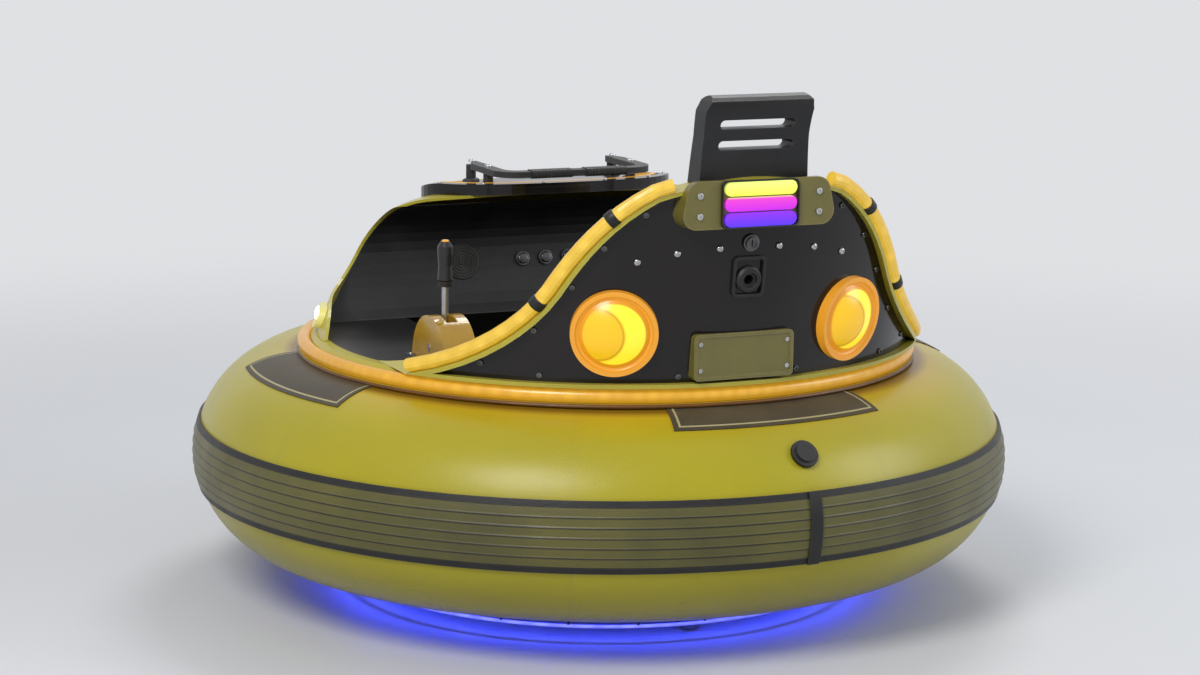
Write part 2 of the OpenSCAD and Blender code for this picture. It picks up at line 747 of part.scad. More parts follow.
module hub()
    translate([wheel_x, 0, wheel_r]) rotate([0, 90, 0]) rotate_extrude()
        polygon([[axle_r + run, -wheel_w / 2 + 3], [24, -wheel_w / 2 + 3], [28, -wheel_w / 2 + 7],
            [60, -wheel_w / 2 + 7], [64, -wheel_w / 2 + 3], [70 - seat, -wheel_w / 2 + 3],
            [70 - seat, wheel_w / 2 - 3], [64, wheel_w / 2 - 3], [60, wheel_w / 2 - 7],
            [28, wheel_w / 2 - 7], [24, wheel_w / 2 - 3], [axle_r + run, wheel_w / 2 - 3]]);

module tyre_left() color("black") mirror([1, 0, 0]) tyre();
module tyre_right() color("black") tyre();
module hub_left() color("silver") mirror([1, 0, 0]) hub();
module hub_right() color("silver") hub();

battery_w = rail_x - beam_w / 2 - 25;
battery_d = 170;
battery_h = 212;
tray_z = 66;
battery_y = battery_d / 2 + 30 + beam_w / 2 - cross_y;

module batteries() color("dimgray")
    both_sides() translate([5, battery_y - battery_d / 2, tray_z + 3 + seat])
        cube([battery_w, battery_d, battery_h]);

module battery_tray() color("slategray")
    translate([0, battery_y, tray_z]) {
        w = rail_x - beam_w / 2 - seat;
        d = battery_d / 2 + 6;
        translate([-w, -d, 0]) cube([2 * w, 2 * d, 3]);
        for (s = [-1, 1]) {
            translate([s * (w - 1.5) - 1.5, -d, 0]) cube([3, 2 * d, beam_z + beam_h - tray_z - 3]);
            translate([-w, s * (d - 1.5) - 1.5, 0]) cube([2 * w, 3, 30]);
        }
    }

plate_top = beam_z - seat;
king_r = 10;
fork_top = plate_top - 6 - 4;
fork_t = 8;
fork_x = caster_w / 2 + 6;

module caster_plates() color("slategray")
    for (s = [-1, 1]) {
        translate([-55, s * caster_y - 95, plate_top - 6]) cube([110, 190, 6]);
        translate([0, s * caster_y, fork_top - fork_t - 7]) {
            cylinder(r = king_r, h = plate_top - fork_top + fork_t + 4);
            cylinder(r = king_r + 5, h = 7 - seat);
        }
    }

module fork(y)
    translate([0, y, 0]) difference() {
        union() {
            translate([0, 0, fork_top - fork_t]) cylinder(r = 36, h = fork_t);
            for (s = [-1, 1]) translate([s * (fork_x + 3), 0, 0]) across(3)
                polygon([[26, fork_top], [-26, fork_top], [-trail - 13, caster_r + 4],
                    [-trail - 8, caster_r - 10], [-trail + 8, caster_r - 10], [-trail + 13, caster_r + 4]]);
            translate([0, -trail, caster_r]) rotate([0, 90, 0])
                cylinder(r = 6, h = 2 * fork_x + 20, center = true);
        }
        translate([0, 0, fork_top - 2 * fork_t]) cylinder(r = king_r + run, h = 3 * fork_t);
    }

module caster(y)
    translate([0, y - trail, caster_r]) rotate([0, 90, 0]) rotate_extrude()
        polygon([[6 + run, -caster_w / 2 - 4], [12, -caster_w / 2 - 4], [14, -caster_w / 2 + 3],
            [30, -caster_w / 2 + 3], [33, -caster_w / 2], [caster_r - 6, -caster_w / 2],
            [caster_r, -caster_w / 2 + 7], [caster_r, caster_w / 2 - 7], [caster_r - 6, caster_w / 2],
            [33, caster_w / 2], [30, caster_w / 2 - 3], [14, caster_w / 2 - 3], [12, caster_w / 2 + 4],
            [6 + run, caster_w / 2 + 4]]);

module fork_front() color("silver") fork(caster_y);
module fork_rear() color("silver") fork(-caster_y);
module caster_front() color("dimgray") caster(caster_y);
module caster_rear() color("dimgray") caster(-caster_y);

tube();
rub_band();
band_welts();
tube_patches();
valve_cap();
body_deck();
rim_strip();
floor_mat();
seat_cushion();
back_cushion();
rear_shell();
rear_panel();
arch_strip();
lamp_bezels();
lamp_lenses();
plate();
charge_port();
light_bracket();
light_bar();
headrest();
hood();
visor();
visor_trim();
visor_strips();
nose_panel();
nose_bands();
dash_panel();
grab_bar();
side_lamps();
head_lamps();
lever_housing_left();
lever_housing_right();
lever_left();
lever_right();
chassis_frame();
skirt();
underglow();
wheel_brackets();
batteries();
battery_tray();
tyre_left();
tyre_right();
hub_left();
hub_right();
caster_plates();
fork_front();
fork_rear();
caster_front();
caster_rear();
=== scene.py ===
# %% [markdown]
# # An indoor bumper car with a soft ring
# The car is a round tub of glossy laminate inside a blown-up ring. Strips of amber
# light run round its rim and over its back, and blue light shines out below it.
# The solid model gives every part its shape and place. It is loaded first and never
# changed. This lesson adds what a solid model leaves out: finishes, padding, lamps
# that look lit, screws, seams and tread.

# %% Load the model
import json
import math
import bmesh
import bpy
from mathutils import Matrix, Vector

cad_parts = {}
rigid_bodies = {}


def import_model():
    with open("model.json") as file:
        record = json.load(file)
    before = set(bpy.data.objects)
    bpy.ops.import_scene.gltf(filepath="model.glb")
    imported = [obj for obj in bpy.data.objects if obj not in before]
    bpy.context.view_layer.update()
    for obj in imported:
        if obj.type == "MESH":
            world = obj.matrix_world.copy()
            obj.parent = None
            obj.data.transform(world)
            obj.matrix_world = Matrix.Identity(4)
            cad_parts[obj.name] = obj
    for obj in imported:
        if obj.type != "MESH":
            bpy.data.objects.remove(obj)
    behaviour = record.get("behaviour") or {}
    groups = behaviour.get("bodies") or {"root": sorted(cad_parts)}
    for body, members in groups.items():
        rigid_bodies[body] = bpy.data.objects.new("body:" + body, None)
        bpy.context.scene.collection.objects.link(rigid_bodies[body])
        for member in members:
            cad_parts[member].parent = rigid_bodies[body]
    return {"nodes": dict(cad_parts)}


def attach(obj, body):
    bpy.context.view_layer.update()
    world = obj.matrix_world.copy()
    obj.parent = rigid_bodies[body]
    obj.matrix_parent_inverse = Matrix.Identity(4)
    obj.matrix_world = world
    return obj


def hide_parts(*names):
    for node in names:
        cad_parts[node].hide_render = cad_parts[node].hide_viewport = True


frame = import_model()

nodes = frame["nodes"]
for spare in [o for o in bpy.data.objects if o.name in ("Cube", "Light", "Camera")]:
    bpy.data.objects.remove(spare)
bpy.context.view_layer.update()

# %% [markdown]
# ## Helpers for node trees
# A finish is a graph of nodes. One helper adds a node and fills its inputs, each with
# a number or with another node's output. The others are named after what they give,
# so that a graph reads like a formula.

# %% Node helpers
def put(tree, kind, *plugs, **named):
    """Plugs fill the inputs in order. Names with capitals are inputs too, others are settings."""
    node = tree.nodes.new("ShaderNode" + kind)
    for key in [key for key in named if key.islower()]:
        setattr(node, key, named.pop(key))
    for key, value in [*enumerate(plugs), *named.items()]:
        socket = node.inputs[key.replace("_", " ") if isinstance(key, str) else key]
        if hasattr(value, "is_linked"):
            tree.links.new(value, socket)
        else:
            socket.default_value = value
    return node

def wire(tree, *pairs):
    for source, target in pairs:
        tree.links.new(source, target)

def calc(tree, operation, *terms):
    return put(tree, "Math", *terms, operation=operation).outputs[0]

def product(tree, total, *terms):
    for term in terms:
        total = calc(tree, "MULTIPLY", total, term)
    return total

def fade(tree, value, start, end, low=0.0, high=1.0):
    node = put(tree, "MapRange", Value=value, From_Min=start, From_Max=end, To_Min=low, To_Max=high)
    return node.outputs[0]

def mixed(tree, share, first, second):
    return put(tree, "Mix", data_type="RGBA", Factor=share, A=first, B=second).outputs["Result"]

def noise(tree, place, **values):
    return put(tree, "TexNoise", Vector=place, **values).outputs["Fac"]

def axes(tree, place):
    node = put(tree, "SeparateXYZ", place)
    return node.outputs["X"], node.outputs["Y"], node.outputs["Z"]

def reach_of(tree, across, along):
    squares = [calc(tree, "MULTIPLY", term, term) for term in (across, along)]
    return calc(tree, "SQRT", calc(tree, "ADD", *squares))

def direct_rays(tree):
    """One for what the camera sees, straight or through a mirror or glass."""
    rays = put(tree, "LightPath").outputs
    total = calc(tree, "MAXIMUM", rays["Is Camera Ray"], rays["Is Glossy Ray"])
    return calc(tree, "MAXIMUM", total, rays["Is Transmission Ray"])

print("node helpers ready")

# %% [markdown]
# ## Camera, floor and light
# The view is from behind and to the left of the car, from a height of 1.75 m. A long
# lens from far away keeps the ring's oval calm, where a short lens close by would
# swell its near side. The camera is placed by its angle round the car and its
# distance, because those two can be read off a picture.

# %% Camera
TURN, RISE, ROLL, DISTANCE = math.radians(-24.0), math.radians(10.2), math.radians(0.7), 6.9
aim = Vector((0.0, 0.0, 0.53))
away = Vector((math.sin(TURN) * math.cos(RISE), -math.cos(TURN) * math.cos(RISE), math.sin(RISE)))
camera_data = bpy.data.cameras.new("camera")
camera = bpy.data.objects.new("camera", camera_data)
bpy.context.scene.collection.objects.link(camera)
camera_data.lens, camera_data.clip_end = 96, 200
camera.location = aim + away * DISTANCE
level = (-away).to_track_quat("-Z", "Y").to_matrix()
camera.rotation_euler = (level @ Matrix.Rotation(ROLL, 3, "Z")).to_euler()
bpy.context.scene.camera = camera
bpy.context.scene.view_settings.view_transform = "Standard"
print("camera at", [round(v, 2) for v in camera.location])

# %% [markdown]
# The floor is one wide disc, so its edge never shows. Near the car it is a plain pale
# surface that takes the car's shadow. Further out it melts into the tone of the sky,
# but only for what the camera or a reflection sees, so it adds no light. Light comes
# from three large soft lamps and a dim sky. Large lamps make broad, soft highlights
# that show the curve of glossy laminate, where small ones would leave hard dots.

# %% Floor
def clear_selection():
    if bpy.context.mode != "OBJECT":
        bpy.ops.object.mode_set(mode="OBJECT")
    bpy.ops.object.select_all(action="DESELECT")

clear_selection()
bpy.ops.mesh.primitive_circle_add(vertices=96, radius=60, fill_type="NGON", location=(0, 0, 0))
floor = bpy.context.object
floor.name = "floor"
print("floor radius:", floor.dimensions.x / 2)

# %% Lamps and sky
def soft_lamp(name, place, target, size, power, tint=(1, 1, 1)):
    light = bpy.data.lights.new(name, "AREA")
    light.shape, light.size, light.energy, light.color = "DISK", size, power, tint
    lamp = bpy.data.objects.new(name, light)
    lamp.location = place
    lamp.rotation_euler = (Vector(target) - Vector(place)).to_track_quat("-Z", "Y").to_euler()
    bpy.context.scene.collection.objects.link(lamp)

soft_lamp("key_lamp", (-3.6, -3.4, 4.4), (0, 0, 0.4), 2.6, 230, (1, 0.98, 0.95))
soft_lamp("fill_lamp", (4.6, -2.6, 2.8), (0, 0, 0.4), 3.0, 90, (0.95, 0.97, 1))
soft_lamp("front_lamp", (2.4, 3.0, 5.4), (0, 0, 0.5), 2.8, 115)
PALE = (0.74, 0.75, 0.77, 1)
sky = bpy.data.worlds.new("sky")
bpy.context.scene.world = sky
sky.use_nodes = True
tree = sky.node_tree
tree.nodes.clear()
dim = put(tree, "Background", Color=(0.86, 0.9, 1, 1), Strength=0.42).outputs[0]
pale = put(tree, "Background", Color=PALE, Strength=1.0).outputs[0]
put(tree, "OutputWorld", put(tree, "MixShader", direct_rays(tree), dim, pale).outputs[0])

# %% [markdown]
# ## Finishes
# Every finish is a node material that reads the part's own coordinates, so a pattern
# stays put when the part moves. Effects that several finishes share, such as
# mottling, grain, settled dust and rubbed edges, are node groups. They are built once
# and placed in each material with other values. The alternative, copying the same
# nodes into every material, takes longer to read and to correct.

# %% A helper for node groups
SOCKET_KINDS = {"Place": "Vector", "Normal": "Vector", "Color": "Color", "Second": "Color"}

def group(name, gives, **takes):
    """Opens a group with a place and more inputs, each with its usual value, and gives its sockets."""
    new = bpy.data.node_groups.new(name, "ShaderNodeTree")
    for way, sockets in (("INPUT", {"Place": None, **takes}), ("OUTPUT", dict.fromkeys(gives))):
        for socket, value in sockets.items():
            kind = "NodeSocket" + SOCKET_KINDS.get(socket, "Float")
            opened = new.interface.new_socket(socket, in_out=way, socket_type=kind)
            if value is not None:
                opened.default_value = value
    return new, new.nodes.new("NodeGroupInput").outputs, new.nodes.new("NodeGroupOutput").inputs

print("group helper ready")

# %% [markdown]
# Mottling is the slow change of tone that any large moulded or coated surface shows.
# A noise of low detail mixes the main colour with a second, close one. Grain is the
# fine relief: orange peel on laminate, pebbling on plastic, weave under coated cloth.
# One noise gives all of them, with its scale and depth as values.

# %% Groups: mottle and grain
mottle, taken, given = group("mottle", ("Color", "Tone"), Color=(1, 1, 1, 1), Second=(0, 0, 0, 1), Scale=6.0)
cloud = noise(mottle, taken["Place"], Scale=taken["Scale"], Detail=3.0, Roughness=0.55)
tone = fade(mottle, cloud, 0.35, 0.68)
wire(mottle, (mixed(mottle, tone, taken["Color"], taken["Second"]), given["Color"]), (tone, given["Tone"]))

grain, taken, given = group("grain", ("Normal",), Scale=300.0, Depth=0.001)
pebble = noise(grain, taken["Place"], Scale=taken["Scale"], Detail=2.0)
relief = put(grain, "Bump", Strength=1.0, Distance=taken["Depth"], Height=pebble)
wire(grain, (relief.outputs[0], given["Normal"]))
print("groups:", mottle.name, grain.name)

# %% [markdown]
# Three groups give masks, which say how much of a tint lies at a point. Scuffs are
# short, mostly level scrapes left by bumps. A noise that is squeezed along the height
# gives long thin marks, and a second, coarse noise keeps them in patches, because
# real scrapes come in patches too. Dust lies on what faces up: the surface's own
# tilt, broken up by a noise, says how much there is. Rubbed edges are paler or barer
# than the faces beside them: a Bevel node bends the normal near an edge, and where it
# differs from the true normal there is an edge.

# %% Groups: scuffs, dust and edges
scuffs, taken, given = group("scuffs", ("Mask",), Scale=6.0, Amount=0.5)
squeezed = put(scuffs, "Mapping", Vector=taken["Place"], Scale=(1, 1, 14)).outputs[0]
marks = noise(scuffs, squeezed, Scale=taken["Scale"], Detail=6.0, Roughness=0.65)
areas = noise(scuffs, taken["Place"], Scale=2.3, Detail=1.0)
mask = product(scuffs, fade(scuffs, marks, 0.58, 0.72), fade(scuffs, areas, 0.45, 0.6), taken["Amount"])
wire(scuffs, (mask, given["Mask"]))

dust, taken, given = group("dust", ("Mask",), Amount=0.2, Scale=14.0)
upward = fade(dust, axes(dust, put(dust, "NewGeometry").outputs["Normal"])[2], 0.35, 1.0)
specks = noise(dust, taken["Place"], Scale=taken["Scale"], Detail=5.0, Roughness=0.7)
wire(dust, (product(dust, upward, specks, taken["Amount"]), given["Mask"]))

edges, taken, given = group("edges", ("Mask",), Radius=0.004, Amount=0.6)
rounded = put(edges, "Bevel", samples=4, Radius=taken["Radius"]).outputs[0]
true_normal = put(edges, "NewGeometry").outputs["Normal"]
match = put(edges, "VectorMath", rounded, true_normal, operation="DOT_PRODUCT").outputs["Value"]
breakup = noise(edges, taken["Place"], Scale=45.0, Detail=4.0)
wire(edges, (product(edges, fade(edges, match, 0.995, 0.9), breakup, taken["Amount"]), given["Mask"]))
print("groups:", scuffs.name, dust.name, edges.name)

# %% [markdown]
# Most finishes on the car are layered the same way: a mottled colour, scuffed, paler
# at rubbed edges, greyer where dust lies, with a grain in the normal. One helper lays
# these layers. Its values come in this order: name, main colour, second colour, scale
# of the mottling, scale and depth of the grain, lowest and highest roughness, amount
# of dust. Rubbed edges and scuffs are each an amount and a tint. A single number
# stands for a grey. What is left goes on the shader's own inputs.

# %% A layered finish
DUST = (0.42, 0.4, 0.37)
finishes = {}

def rgba(color):
    return (*color, 1) if hasattr(color, "__len__") else (color, color, color, 1)

def layered(name, color, second, tone, relief, gloss, dusty=0.0, rub=(0, 0), scuff=(0, 0), **own):
    mat = bpy.data.materials.new(name)
    mat.use_nodes = True
    tree = mat.node_tree
    shader = tree.nodes["Principled BSDF"]
    for key, value in own.items():
        shader.inputs[key.replace("_", " ")].default_value = value
    place = put(tree, "TexCoord").outputs["Object"]
    colours = {"Color": rgba(color), "Second": rgba(second)}
    base = put(tree, "Group", node_tree=mottle, Place=place, Scale=tone, **colours)
    colour = base.outputs["Color"]
    for mask_group, (amount, tint) in ((scuffs, scuff), (edges, rub), (dust, (dusty, DUST))):
        if amount:
            mask = put(tree, "Group", node_tree=mask_group, Place=place, Amount=amount)
            colour = mixed(tree, mask.outputs["Mask"], colour, rgba(tint))
    polish = fade(tree, base.outputs["Tone"], 0, 1, *gloss)
    wire(tree, (colour, shader.inputs["Base Color"]), (polish, shader.inputs["Roughness"]))
    if relief:
        fine = put(tree, "Group", node_tree=grain, Place=place, Scale=relief[0], Depth=relief[1])
        wire(tree, (fine.outputs["Normal"], shader.inputs["Normal"]))
    finishes[name] = mat
    return tree, shader, place

tree, shader, place = layered("floor_pale", (0.68, 0.69, 0.70), (0.66, 0.67, 0.68), 0.6, None, (0.5, 0.62),
                              Specular_IOR_Level=0.25)
far = put(tree, "VectorMath", place, operation="LENGTH").outputs["Value"]
melt = put(tree, "MapRange", interpolation_type="SMOOTHSTEP", Value=far, From_Min=1.6, From_Max=5.0)
tone = put(tree, "Emission", Color=PALE).outputs[0]
share = product(tree, melt.outputs[0], direct_rays(tree))
blend = put(tree, "MixShader", share, shader.outputs[0], tone)
wire(tree, (blend.outputs[0], tree.nodes["Material Output"].inputs["Surface"]))
print("layered finish ready, and used for the floor")

# %% [markdown]
# ### Laminate, rubber, hide and plastic
# The tub is laminate under a clear coat, so it gets a coat layer and a faint orange
# peel. Rubber is darker and duller, with a finer and deeper grain. The seats' hide
# has the deepest grain of all.

# %% Soft and moulded finishes
layered("black_rubber", 0.010, (0.018, 0.017, 0.016), 12, (500, 0.0005), (0.40, 0.54), 0.08,
        (0.4, (0.12, 0.12, 0.11)), Specular_IOR_Level=0.35)
# The gasket's brown colour is painted shade under the lit rim strip.
layered("gasket_shade_brown", (0.16, 0.062, 0.006), (0.11, 0.044, 0.006), 12, (500, 0.0004), (0.3, 0.42), 0.05)
layered("yellow_laminate", (0.45, 0.39, 0.028), (0.40, 0.345, 0.024), 4, (90, 0.0003), (0.32, 0.42), 0.05,
        (0.4, (0.55, 0.5, 0.2)), Coat_Weight=0.25, Coat_Roughness=0.22)
layered("olive_laminate", (0.155, 0.134, 0.026), (0.125, 0.108, 0.023), 9, (90, 0.0003), (0.3, 0.42), 0.05,
        (0.5, (0.45, 0.4, 0.16)), Coat_Weight=0.3, Coat_Roughness=0.2)
layered("black_laminate", (0.007, 0.005, 0.005), (0.011, 0.008, 0.008), 5, (70, 0.0001), (0.1, 0.16), 0.02,
        (0.3, 0.08), Specular_IOR_Level=0.35)
layered("silver_laminate", (0.56, 0.53, 0.58), (0.5, 0.48, 0.54), 5, (90, 0.0003), (0.22, 0.34), 0.05,
        (0.4, (0.75, 0.75, 0.76)), Coat_Weight=0.6, Coat_Roughness=0.1)
layered("seat_hide", (0.014, 0.013, 0.013), (0.024, 0.022, 0.021), 16, (620, 0.0012), (0.36, 0.5), 0.05,
        Sheen_Weight=0.1)
layered("piping", (0.012, 0.011, 0.011), (0.02, 0.019, 0.018), 30, (700, 0.0006), (0.3, 0.42), 0.05)
layered("dash_plastic", (0.009, 0.009, 0.010), (0.014, 0.014, 0.015), 9, (700, 0.0005), (0.34, 0.46), 0.06,
        (0.5, 0.09), Specular_IOR_Level=0.35)
print("finishes so far:", len(finishes))

# %% [markdown]
# ### Metal
# Painted steel, bare steel and cast hubs are hidden under the car, but they show from
# below. Metallic is near one where the metal is bare and nought under paint.

# %% Metal and running-gear finishes
layered("frame_paint", (0.03, 0.032, 0.035), (0.045, 0.046, 0.05), 8, (160, 0.0005), (0.4, 0.55), 0.3,
        (0.6, (0.32, 0.3, 0.28)))
layered("zinc_steel", (0.52, 0.53, 0.54), 0.42, 24, (220, 0.0003), (0.26, 0.42), 0.15, (0.4, 0.75),
        Metallic=1.0)
layered("cast_hub", (0.34, 0.35, 0.36), (0.27, 0.27, 0.28), 18, (120, 0.0006), (0.36, 0.52), 0.25, (0.5, 0.6),
        Metallic=0.8)
layered("tyre_rubber", 0.018, (0.036, 0.034, 0.031), 16, (340, 0.0008), (0.62, 0.78), 0.4,
        (0.6, (0.12, 0.115, 0.1)))
layered("caster_tread", (0.16, 0.16, 0.165), 0.12, 20, (300, 0.0005), (0.45, 0.6), 0.3, (0.5, 0.3))
layered("battery_plastic", (0.05, 0.052, 0.056), (0.07, 0.07, 0.075), 10, (240, 0.0006), (0.4, 0.55), 0.35,
        (0.5, 0.2))
layered("skirt_plastic", (0.018, 0.018, 0.02), 0.03, 7, (200, 0.0006), (0.42, 0.56), 0.25, (0.6, 0.14))
layered("bar_paint", (0.02, 0.02, 0.021), 0.03, 14, (260, 0.0004), (0.42, 0.52), 0.08, (0.5, 0.3),
        Specular_IOR_Level=0.35)
layered("bright_metal", (0.48, 0.48, 0.49), (0.38, 0.38, 0.39), 40, (160, 0.0001), (0.14, 0.24), 0.05,
        Metallic=1.0)
layered("dark_metal", (0.10, 0.10, 0.105), (0.07, 0.07, 0.072), 40, (200, 0.0002), (0.25, 0.4), 0.1,
        (0.5, 0.4), Metallic=0.9)
print("finishes so far:", len(finishes))

# %% [markdown]
# ### Lit finishes
# The light strips are soft silicone tubes with a row of small lamps inside, so their
# glow is even, a little brighter at each lamp and paler on the side that faces the
# eye. A lit surface gets a dim emission over a base of its colour. Its strength stays
# near one, so that amber still reads as amber and doesn't burn out to white. Only the
# blue strip under the car is far stronger, because it lights the floor.

# %% Glowing tubes and lenses
def glowing(name, color, core, strength, pitch=0.0):
    tree, shader, place = layered(name, color, [v * 0.85 for v in color], 5, (200, 0.0002), (0.3, 0.4), 0.04,
                                  Coat_Weight=0.3, Coat_Roughness=0.15, Emission_Strength=strength)
    heart = fade(tree, put(tree, "LayerWeight", Blend=0.35).outputs["Facing"], 0.0, 0.75, 1.0, 0.0)
    if pitch:
        lamps = put(tree, "TexVoronoi", Vector=place, Scale=1 / pitch, Randomness=0.0).outputs["Distance"]
        heart = product(tree, fade(tree, lamps, 0.0, 0.6, 1.0, 0.45), heart)
    wire(tree, (mixed(tree, heart, rgba(color), rgba(core)), shader.inputs["Emission Color"]))
    return tree, shader, place

glowing("amber_tube", (0.42, 0.20, 0.008), (0.86, 0.50, 0.045), 0.66, pitch=0.03)
glowing("gold_tube", (0.44, 0.27, 0.014), (0.90, 0.62, 0.10), 0.74, pitch=0.03)
glowing("amber_ring", (0.50, 0.20, 0.008), (0.75, 0.33, 0.02), 0.6)
glowing("yellow_lens", (0.50, 0.46, 0.10), (0.85, 0.80, 0.30), 0.45)
glowing("white_dot", (1.0, 1.0, 0.75), (1.0, 1.0, 0.85), 1.6)
glowing("blue_strip", (0.008, 0.02, 0.95), (0.03, 0.06, 1.0), 14.0)
glowing("blue_dot", (0.5, 0.6, 1.0), (0.8, 0.85, 1.0), 6.0)
glowing("pale_blue_tube", (0.06, 0.08, 0.70), (0.42, 0.45, 1.0), 0.9, pitch=0.04)
print("finishes so far:", len(finishes))

# %% [markdown]
# ### Patterns that follow the part
# Some finishes carry a pattern at a known place: painted shade in the grooves between
# the ribs of the rubbing band, a pale line round each patch, the arcs inside a lamp.
# Their masks are worked out from the part's own coordinates, so they need no image. One
# helper lays a mask's colour over what a finish has so far.
# The rubbing band is the same yellow as the ring, but bumps have dirtied it, and painted
# shade darkens the grooves between its ribs. The tube is a ring whose middle lies 0.297 m
# up, so a point's height over the tube's radius gives its angle round the tube, and the
# ribs come at equal steps of that angle. The ring is coated cloth, welded from gores and
# blown up. Painted light gives it a warm tint near the lit strips, standing for their
# glow, and beside the rim strip a brown band of painted shadow and painted reflection,
# with some grime. Towards its underside it darkens with painted shade.

# %% Band, ring and deck finishes
TUBE_Z, TUBE_R, RING_MID, RING_TURN = 0.297, 0.215, 0.6532, 5
BACK, DECK, BACK_R, FLARE, PANEL_IN = 0.030, 0.5523, 0.663, math.radians(7.4), 0.018

def over(look, mask, tint, socket="Base Color"):
    tree, shader, place = look
    before = shader.inputs[socket].links[0].from_socket
    wire(tree, (mixed(tree, mask, before, rgba(tint)), shader.inputs[socket]))

band = layered("band_cloth", (0.115, 0.105, 0.026), (0.078, 0.072, 0.022), 5, (380, 0.0006), (0.36, 0.5),
               0.06, scuff=(0.6, (0.065, 0.058, 0.035)), Specular_IOR_Level=0.4)
tree, shader, place = band
x, y, z = axes(tree, place)
BAND_THICK, BAND_HALF, RIBS = 0.0053, 0.058, 3
lean = calc(tree, "ARCSINE", calc(tree, "DIVIDE", calc(tree, "SUBTRACT", z, TUBE_Z), TUBE_R + BAND_THICK))
steps = calc(tree, "PINGPONG", product(tree, lean, RIBS / math.asin(BAND_HALF / TUBE_R)), 0.5)
# Painted shade: the grooves between the band's ribs are darkened.
over(band, fade(tree, steps, 0.10, 0.03), (0.012, 0.011, 0.009))

ring = layered("ring_welded", (0.41, 0.355, 0.010), (0.36, 0.31, 0.009), 2.2, (420, 0.0004), (0.26, 0.38),
               0.03, scuff=(0.2, (0.34, 0.30, 0.04)), Coat_Weight=0.12, Coat_Roughness=0.22,
               Specular_IOR_Level=0.35)
tree, shader, place = ring
x, y, z = axes(tree, place)
gore = calc(tree, "PINGPONG", calc(tree, "ADD", calc(tree, "ARCTAN2", y, x), 0.48), math.pi / 8)
over(ring, fade(tree, gore, 0.012, 0.009, 0.0, 0.35), (0.36, 0.31, 0.02))
# Painted shade: the ring darkens towards its underside, below 0.24 m.
over(ring, fade(tree, z, 0.24, 0.10, 0.0, 0.6), (0.13, 0.12, 0.022))
reach = reach_of(tree, x, calc(tree, "ADD", y, BACK))
behind = fade(tree, y, 0.2, -0.55, 0.3, 1.0)
high = fade(tree, z, 0.42, 0.50)
# Painted light: a warm tint near the lit strips, strongest at the back, stands for their glow on the ring.
over(ring, product(tree, fade(tree, reach, 0.79, 0.67), high, behind, 0.55), (0.62, 0.36, 0.010))
# Painted shadow and painted reflection, with some grime: a brown band just outside the rim strip.
over(ring, product(tree, fade(tree, reach, 0.692, 0.670, 0.0, 0.8), high), (0.15, 0.066, 0.006))

deck = layered("deck_laminate", (0.45, 0.39, 0.028), (0.40, 0.345, 0.024), 4, (90, 0.0003), (0.32, 0.42),
               0.04, (0.3, (0.5, 0.45, 0.2)), Coat_Weight=0.2, Coat_Roughness=0.22)
tree, shader, place = deck
x, y, z = axes(tree, place)
over(deck, fade(tree, reach_of(tree, x, calc(tree, "ADD", y, BACK)), 0.6035, 0.6015), (0.010, 0.009, 0.009))
print("band, ring and deck done")

# %% [markdown]
# A patch guards the crest of the ring at each quarter. It is dark coated cloth with a
# thin pale line a finger's width inside its edge. The distance to that edge is the
# smaller of two: along the ring, and across it. The ring is mounted 5 degrees round
# from the car's own axes, and the patches with it.

# %% Patch finish
PATCH_HALF, PATCH_LOW, PATCH_R = math.radians(18), math.radians(59.4), 0.68
patch = layered("patch_cloth", (0.042, 0.034, 0.021), (0.068, 0.052, 0.026), 9, (320, 0.0006), (0.46, 0.6),
                0.06, scuff=(0.4, (0.15, 0.12, 0.07)), Specular_IOR_Level=0.35)
tree, shader, place = patch
x, y, z = axes(tree, place)
turned = calc(tree, "ADD", calc(tree, "ARCTAN2", y, x), math.radians(360 - RING_TURN + 45))
quarter = calc(tree, "SUBTRACT", calc(tree, "MODULO", turned, math.pi / 2), math.pi / 4)
end = product(tree, calc(tree, "SUBTRACT", PATCH_HALF, calc(tree, "ABSOLUTE", quarter)), PATCH_R)
out_from = calc(tree, "SUBTRACT", reach_of(tree, x, y), RING_MID)
across = calc(tree, "ARCTAN2", calc(tree, "SUBTRACT", z, TUBE_Z), out_from)
low_side = product(tree, calc(tree, "SUBTRACT", across, PATCH_LOW), TUBE_R)
edge = calc(tree, "MINIMUM", end, low_side)
line = product(tree, fade(tree, edge, 0.009, 0.0105), fade(tree, edge, 0.0145, 0.013))
over(patch, line, (0.42, 0.37, 0.2))
print("patch done")

# %% [markdown]
# The round rear lamps glow amber. Behind each lens a curved reflector shows as a
# bright yellow crescent at the right, with a thin dark line at its inner edge. One
# pattern serves both lamps: the right lamp is taken as it is, and the left one through
# its mirror image, with the crescent turned back. A place on the flared back of the
# car is given by its angle, its height over the deck and how far it stands out.

# %% Rear lamp finish
def at(x, y, z):
    return Matrix.Translation((x, y, z))

def spin(angle, axis):
    return Matrix.Rotation(angle, 4, axis)

QUARTER = math.pi / 2
AXLE = at(0, -BACK, DECK)

def back_at(height):
    return BACK_R + math.tan(FLARE) * height

def on_back(turn, height, out=-PANEL_IN):
    return AXLE @ spin(turn, "Z") @ at(0, -back_at(height) - out, height) @ spin(QUARTER + FLARE, "X")

